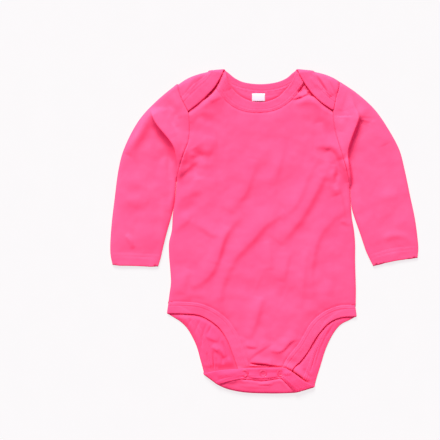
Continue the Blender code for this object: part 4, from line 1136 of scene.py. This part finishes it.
def makeFront():
    cloth = Cloth("frontCloth")
    neck, band = rawEdge(frontNeckBand, (-4, 0)), rawEdge(frontEnd, (0, 0))
    shoulders, holes, legs, sides = {}, {}, {}, {}
    for side, at in (("right", 0), ("left", -1)):
        shoulder = movedIn(smoothLine(shoulderFold[side]), inset["frontShoulder"], (-3, 0))
        hole = armholeBelow(side, shoulder[-1][1] - 1.5)
        shoulder[0] = neck[at]
        leg = rawEdge(legFront[side], (0, -60))
        leg = leg[leg[:, 1] > band[at][1] + 1.5]
        sides[side] = movedIn(smoothLine(bodySide[side]), inset["side"], (0, 0))
        sides[side][0], sides[side][-1] = hole[-1], leg[-1]
        legs[side] = np.vstack([leg[::-1], band[at][None]])
        shoulders[side], holes[side] = shoulder, np.vstack([shoulder[-1:], hole])
    cloth.fill(panelRing(neck, shoulders, holes, sides, legs, band), frontLevel, spacings["front"],
               closed=("leftSide", "rightSide"), patches=[
                   ([(-30, -160), (32, -160), (32, -174), (-30, -174)], 0.8),
                   ([(26, 150), (40, 196), (66, 196), (92, 150), (60, 144)], 1.0),
               ])
    return cloth.build(stack["wall"], bodyJersey)


def makeBack():
    # back, shoulder flaps and tab are one cut piece
    cloth = Cloth("backCloth")
    neck = rawEdge(backNeckBand, (-4, 0))
    fold = movedIn(smoothLine(bottomFold), inset["fold"], (0, 0))
    shoulders, holes, legs, sides = {}, {}, {}, {}
    for side, at in (("right", 0), ("left", -1)):
        shoulders[side] = movedIn(smoothLine(shoulderFold[side]), inset["backShoulder"], (-3, 0))
        hole = armholeBelow(side, shoulders[side][-1][1] - 0.5)
        holes[side] = np.vstack([shoulders[side][-1:], hole])
        legs[side] = rawEdge(legBack[side], (0, -100))
        sides[side] = movedIn(smoothLine(bodySide[side]), inset["underside"], (0, 0))
        shoulders[side][0] = neck[at]
        sides[side][0] = holes[side][-1]
        sides[side][-1] = legs[side][0]
        legs[side][-1] = fold[at]
    shown = [
        ([(-72, 148), (-72, 208), (66, 208), (62, 148)], 1.7),
        ([(-126, -80), (-20, -80), (-20, -206), (-126, -206)], 1.2),
        ([(126, -80), (30, -100), (20, -206), (126, -206)], 1.5),
    ]
    # the back's wrong side shows through the openings and is darkened further as painted shade: most inside the
    # right leg, least by the neck
    cloth.inside = lambda plan: np.where(plan[:, 1] > 0, 0.3, np.where(plan[:, 0] < 0, 0.85, 0.5))
    main = cloth.fill(panelRing(neck, shoulders, holes, sides, legs, fold), backLevel, spacings["back"],
                      patches=shown)
    for side in ("right", "left"):
        # the side edge turns up to meet the front
        low = main[side + "Side"] if side == "left" else main[side + "Side"][::-1]
        widest = movedIn(smoothLine(bodySide[side]), inset["side"], (0, 0))
        cloth.inside = plainSide
        cloth.turnUp(low, cloth.add(widest, np.full(len(widest), stack["edgeMid"] - 0.1)))
        # the flap folds forward at the shoulder
        shoulder = movedIn(smoothLine(shoulderFold[side]), inset["shoulder"], (-3, 0))
        seam = rawEdge(flapBand[side], shoulder[-1])
        seam[-1] = shoulder[0]
        hole = armholeBelow(side, shoulder[-1][1] - 0.5)
        hole = hole[hole[:, 1] > seam[0][1] + 1.0]
        flap = cloth.fill(
            {"fold": shoulder, "armhole": np.vstack([shoulder[-1:], hole, seam[:1]]), "band": seam},
            flapLevel, spacings["flap"], closed=("fold",),
        )
        low = main[side + "Shoulder"] if side == "left" else main[side + "Shoulder"][::-1]
        cloth.turnUp(low, flap["fold"])
    fold = smoothLine(bottomFold)
    bindings = {side: rawEdge(tabSide[side], (0, -200)) for side in tabSide}
    end = rawEdge(tabEnd, (0, -230))
    for side, at in (("right", 0), ("left", -1)):
        bindings[side][0], bindings[side][-1] = fold[at], end[at]
    tab = cloth.fill(
        {"fold": fold[::-1], "right": bindings["right"], "band": end, "left": bindings["left"][::-1]},
        tabClothLevel, spacings["tab"], closed=("fold",),
    )
    cloth.turnUp(main["low"], tab["fold"])
    return cloth.build(stack["wall"], backJersey)


def makeSleeve(side):
    # a flat tube: lower wall, turned edges, upper wall, and a hem turned in at the wrist
    outer, inner = smoothLine(sleeveOuter[side]), smoothLine(sleeveInner[side])
    centre = np.vstack([outer, inner]).mean(0)
    outer, inner = movedIn(outer, inset["side"], centre), movedIn(inner, inset["side"], centre)
    axis = (outer[-1] + inner[-1]) / 2 - (outer[0] + inner[0]) / 2
    axis /= np.linalg.norm(axis)
    grain = np.array([(-axis[1], axis[0]), axis]).T
    cloth = Cloth(f"sleeveCloth{side.title()}", lambda plan: plan @ grain)
    hole = smoothLine(armhole[side])

    def walls(outerLine, innerLine, level, spacing, **more):
        top = hole.copy()
        top[0], top[-1] = outerLine[0], innerLine[0]
        opening = np.linspace(innerLine[-1], outerLine[-1], 36)
        opening -= axis * (sleeveHem["sag"][side] * np.sin(np.linspace(0, np.pi, 36)))[:, None]
        return cloth.fill({"top": top, "inner": innerLine, "opening": opening, "outer": outerLine[::-1]},
                          level, spacing, **more)

    sign = -1 if side == "right" else 1
    tuckPatch = [(sign * x, y) for x, y in ((94, 40), (94, 162), (160, 162), (166, 90), (128, 40))]
    below = inset["tubeUnderside"]
    lower = walls(movedIn(outer, below, centre), movedIn(inner, below, centre), lowerLevel,
                  spacings["sleeveUnderside"])
    upper = walls(outer, inner, topLevel, spacings["sleeve"], closed=("inner", "outer"),
                  patches=[(tuckPatch, 1.1)], tucks=sleeveTucks[side])
    for edge in ("inner", "outer"):
        cloth.turnUp(lower[edge], upper[edge])
    run = outer[-1] - inner[-1]
    out = np.array([-run[1], run[0]]) / np.linalg.norm(run)
    out = out if out @ axis > 0 else -out
    cloth.hem(upper["opening"][1:-1], out, sleeveHem["deep"], 1)
    cloth.hem(lower["opening"][1:-1], out, sleeveHem["deep"], -1)
    return cloth.build(stack["wall"], sleeveJersey)


def makeNeckBack():
    centre = {"right": np.array((-60, 0)), "left": np.array((50, 0))}
    back = bandGrid(backNeckBand, lambda plan: np.full(len(plan), stack["backBindingMid"]), 2.0,
                    np.array(backNeckBand[0]), np.array(backNeckBand[-1]))
    parts = []
    for side in ("right", "left"):
        fold = np.array(flapBand[side][-1])
        flap = bandGrid(flapBand[side], flapBindingLevel, 2.6, end=fold)
        outward = foldOut(fold, centre[side])
        low = back[0] if side == "right" else back[-1]
        turn = foldGrid(flap[-1], low, outward, 2.4)
        parts.append([flap, turn])
    (right, rightTurn), (left, leftTurn) = parts
    grid = np.concatenate([right, rightTurn, back, leftTurn[::-1], left[::-1]])
    return bandPiece("neckBindingBack", grid, neckRib)


def makeLegBinding(side):
    sideFold, bottom = np.array(legFront[side][-1]), np.array(tabSide[side][0])
    front = bandGrid(legFront[side], frontBindingLevel, 1.0, end=sideFold)
    back = bandGrid(legBack[side], backBindingLevel, 1.6, sideFold, bottom)
    tab = bandGrid(tabSide[side], tabBindingLevel, 2.2, start=bottom)
    sideTurn = foldGrid(front[-1], back[0], foldOut(sideFold, np.array((0, -90))), 1.1)
    tabTurn = foldGrid(back[-1], tab[0], foldOut(bottom, np.array((0, -100))), 2.2)
    grid = np.concatenate([front, sideTurn, back, tabTurn, tab])
    # painted shade along the binding: none on the front, deeper behind, deepest on the tab
    tones = np.concatenate([np.zeros(len(front)), np.linspace(0, 0.6, len(sideTurn)), np.full(len(back), 0.6),
                            np.full(len(tabTurn) + len(tab), tabBindingShade)])
    return bandPiece(f"legBinding{side.title()}", grid, legRib,
                     inside=lambda points: np.tile(np.repeat(tones, grid.shape[1]), 2))


# ring cap of a press stud: share of the radius, share of the height
capSection = [(0.93, 0.0), (1.0, 0.12), (1.0, 0.32), (0.96, 0.62), (0.88, 0.9), (0.78, 1.0), (0.68, 0.95),
              (0.6, 0.72), (0.55, 0.42), (0.5, 0.3), (0.36, 0.26), (0.2, 0.3), (0.06, 0.34)]
studSection = [(0.9, 0.0), (1.0, 0.1), (1.0, 0.5), (0.94, 0.62), (0.78, 0.68), (0.74, 0.95), (0.6, 1.0),
               (0.2, 1.0)]


def turnedDisc(name, place, level, radius, height, section, material):
    sides = snap["sides"]
    angles = np.linspace(0, 2 * math.pi, sides, endpoint=False)
    circle = radius * np.column_stack([np.cos(angles), np.sin(angles)])
    rings = [np.column_stack([place + share * circle, np.full(sides, level + height * rise)])
             for share, rise in section]
    points = np.vstack([(*place, level), *rings, (*place, level + height * section[-1][1])])
    faces = []
    for i in range(sides):
        j = (i + 1) % sides
        faces.append((0, 1 + j, 1 + i))
        last = 1 + (len(section) - 1) * sides
        faces.append((len(points) - 1, last + i, last + j))
        for ring in range(len(section) - 1):
            a, b = 1 + ring * sides, 1 + (ring + 1) * sides
            faces.append((a + i, a + j, b + j, b + i))
    return makePiece(name, points, faces, material)


label = {"corner": (-15.3, 165.1), "width": 16.6, "height": 9.9, "low": 2.6, "thick": 0.22}


def makeLabel():
    # a short tape folded double, its loop hanging from the neck seam
    cloth = Cloth("neckLabelTape")
    x = np.linspace(0, label["width"], 14) + label["corner"][0]
    bottom, top = label["corner"][1], label["corner"][1] + label["height"]
    rows = []
    path = [(top, -0.1), (top - 3, 0), (bottom + 2.5, 0), (bottom + 0.5, 0.05), (bottom, 0.25),
            (bottom, 0.45), (bottom + 0.5, 0.6), (bottom + 2.5, 0.65), (bottom + 5, 0.6), (top - 2, 0.4),
            (top, 0.1)]
    for y, lift in path:
        curl = 0.25 * np.sin((x - x[0]) / label["width"] * math.pi) * (top - y) / label["height"]
        rows.append(cloth.add(np.column_stack([x, np.full(len(x), y)]), label["low"] + lift + curl))
    cloth.strip(rows)
    return cloth.build(label["thick"], tape)


# the garment
front = makeFront()
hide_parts("front_panel")
print("front laid")
back = makeBack()
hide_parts("back_panel")
print("back laid, with its flaps and tab")
for side in ("right", "left"):
    makeSleeve(side)
    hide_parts("sleeve_" + side)
print("sleeves laid")

neckBack, neckBackLines = makeNeckBack()
neckFront, neckFrontLines = bandPiece("neckBindingFront", bandGrid(frontNeckBand, frontBindingLevel), neckRib)
legs, legLines = {}, []
for side in ("right", "left"):
    legs[side], lines = makeLegBinding(side)
    legLines += lines
    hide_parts("leg_binding_" + side)
# the tab's band is darkened as well: painted shade
tabBand, tabLines = bandPiece("tabBand", bandGrid(tabEnd, tabBindingLevel), crotchRib, 0.4, 0.6,
                               lambda points: np.full(len(points), tabBindingShade))
frontBand, frontLines = bandPiece("frontBand", bandGrid(frontEnd, frontBindingLevel), crotchRib)
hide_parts("neckband_back")
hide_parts("neckband_front")
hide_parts("crotch_band_back")
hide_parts("crotch_band_front")
print("bindings sewn on")

neckStitches = stitchPiece("neckStitches", neckBackLines + neckFrontLines, thread)
legStitches = stitchPiece("legStitches", legLines, thread)
crotchStitches = stitchPiece("crotchStitches", tabLines + frontLines, thread)
hemLines = []
for side in ("right", "left"):
    inner, run, wide, up = wristFrame(side)
    for depth in sleeveHem["stitches"]:
        across = np.linspace(0.045, 0.955, 60)[:, None]
        plan = inner + run * wide * across + up * (depth + sleeveHem["sag"][side] * np.sin(np.pi * across))
        height = topLevel(plan) + stack["wall"] / 2
        hemLines.append((np.column_stack([plan, height]), np.tile((0, 0, 1.0), (len(plan), 1))))
hemStitches = stitchPiece("hemStitches", hemLines, thread)
print("seams stitched")

for number, place in enumerate(snap["places"], 1):
    top = float(tabBindingLevel(np.array([place]))[0]) + 0.9
    cap = turnedDisc(f"snapCap{number}", place, top, snap["radius"], snap["height"], capSection, enamel)
    stud = turnedDisc(f"snapStud{number}", place, stack["tabFloor"] + 1.0, snap["studRadius"],
                      snap["studHeight"], studSection, enamel)
    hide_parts(f"snap_cap_{number}")
    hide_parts(f"snap_stud_{number}")
labelTape = makeLabel()
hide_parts("neck_label")
print("snaps and label on")

# floor, light and camera
studio = {
    "floorTone": 0.12, "floorTint": (0.85, 1.0, 0.9), "floorGlow": 0.795,
    "fill": 0.55, "fillTint": (1.0, 0.23, 0.66),
    "keyStrength": 6.0, "keyFrom": (-0.24, 0.96, 0.71), "keySpread": 26,
    "cameraHeight": 1.8, "frameCentre": (-0.0559, 0.0146), "lens": 116,
}


def makeFloor():
    mesh = bpy.data.meshes.new("floor")
    mesh.from_pydata([(-3, -3, 0), (3, -3, 0), (3, 3, 0), (-3, 3, 0)], [], [(0, 1, 2, 3)])
    material, tree = newMaterial("pale board")
    low, high = ([share * studio["floorTone"] * tint for tint in studio["floorTint"]]
                 for share in (0.96, 1.04))
    # light comes through the board as well, so that shadows on it stay pale
    shadeWith(material, {
        "Base Color": twoTones(tree, low, high, noiseOver(tree, 30)),
        "Roughness": 0.8, "Specular IOR Level": 0.1,
        "Emission Color": (1, 1, 1, 1), "Emission Strength": studio["floorGlow"],
    })
    mesh.materials.append(material)
    floor = bpy.data.objects.new("floor", mesh)
    bpy.context.scene.collection.objects.link(floor)


def lightStudio():
    world = bpy.data.worlds.new("studio fill")
    world.use_nodes = True
    world.node_tree.nodes["Background"].inputs["Color"].default_value = (*studio["fillTint"], 1)
    world.node_tree.nodes["Background"].inputs["Strength"].default_value = studio["fill"]
    bpy.context.scene.world = world
    lamp = bpy.data.lights.new("soft window light", "SUN")
    lamp.energy = studio["keyStrength"]
    lamp.angle = math.radians(studio["keySpread"])
    light = bpy.data.objects.new("soft window light", lamp)
    light.location = studio["keyFrom"]
    light.rotation_euler = (-light.location).to_track_quat("-Z", "Y").to_euler()
    bpy.context.scene.collection.objects.link(light)
    bpy.context.scene.view_settings.view_transform = "Standard"


def placeCamera():
    camera = bpy.data.cameras.new("overhead")
    camera.lens = studio["lens"]
    camera.sensor_width = 36
    eye = bpy.data.objects.new("overhead", camera)
    eye.location = (*studio["frameCentre"], studio["cameraHeight"])
    bpy.context.scene.collection.objects.link(eye)
    bpy.context.scene.camera = eye


makeFloor()
lightStudio()
placeCamera()
print("studio ready")
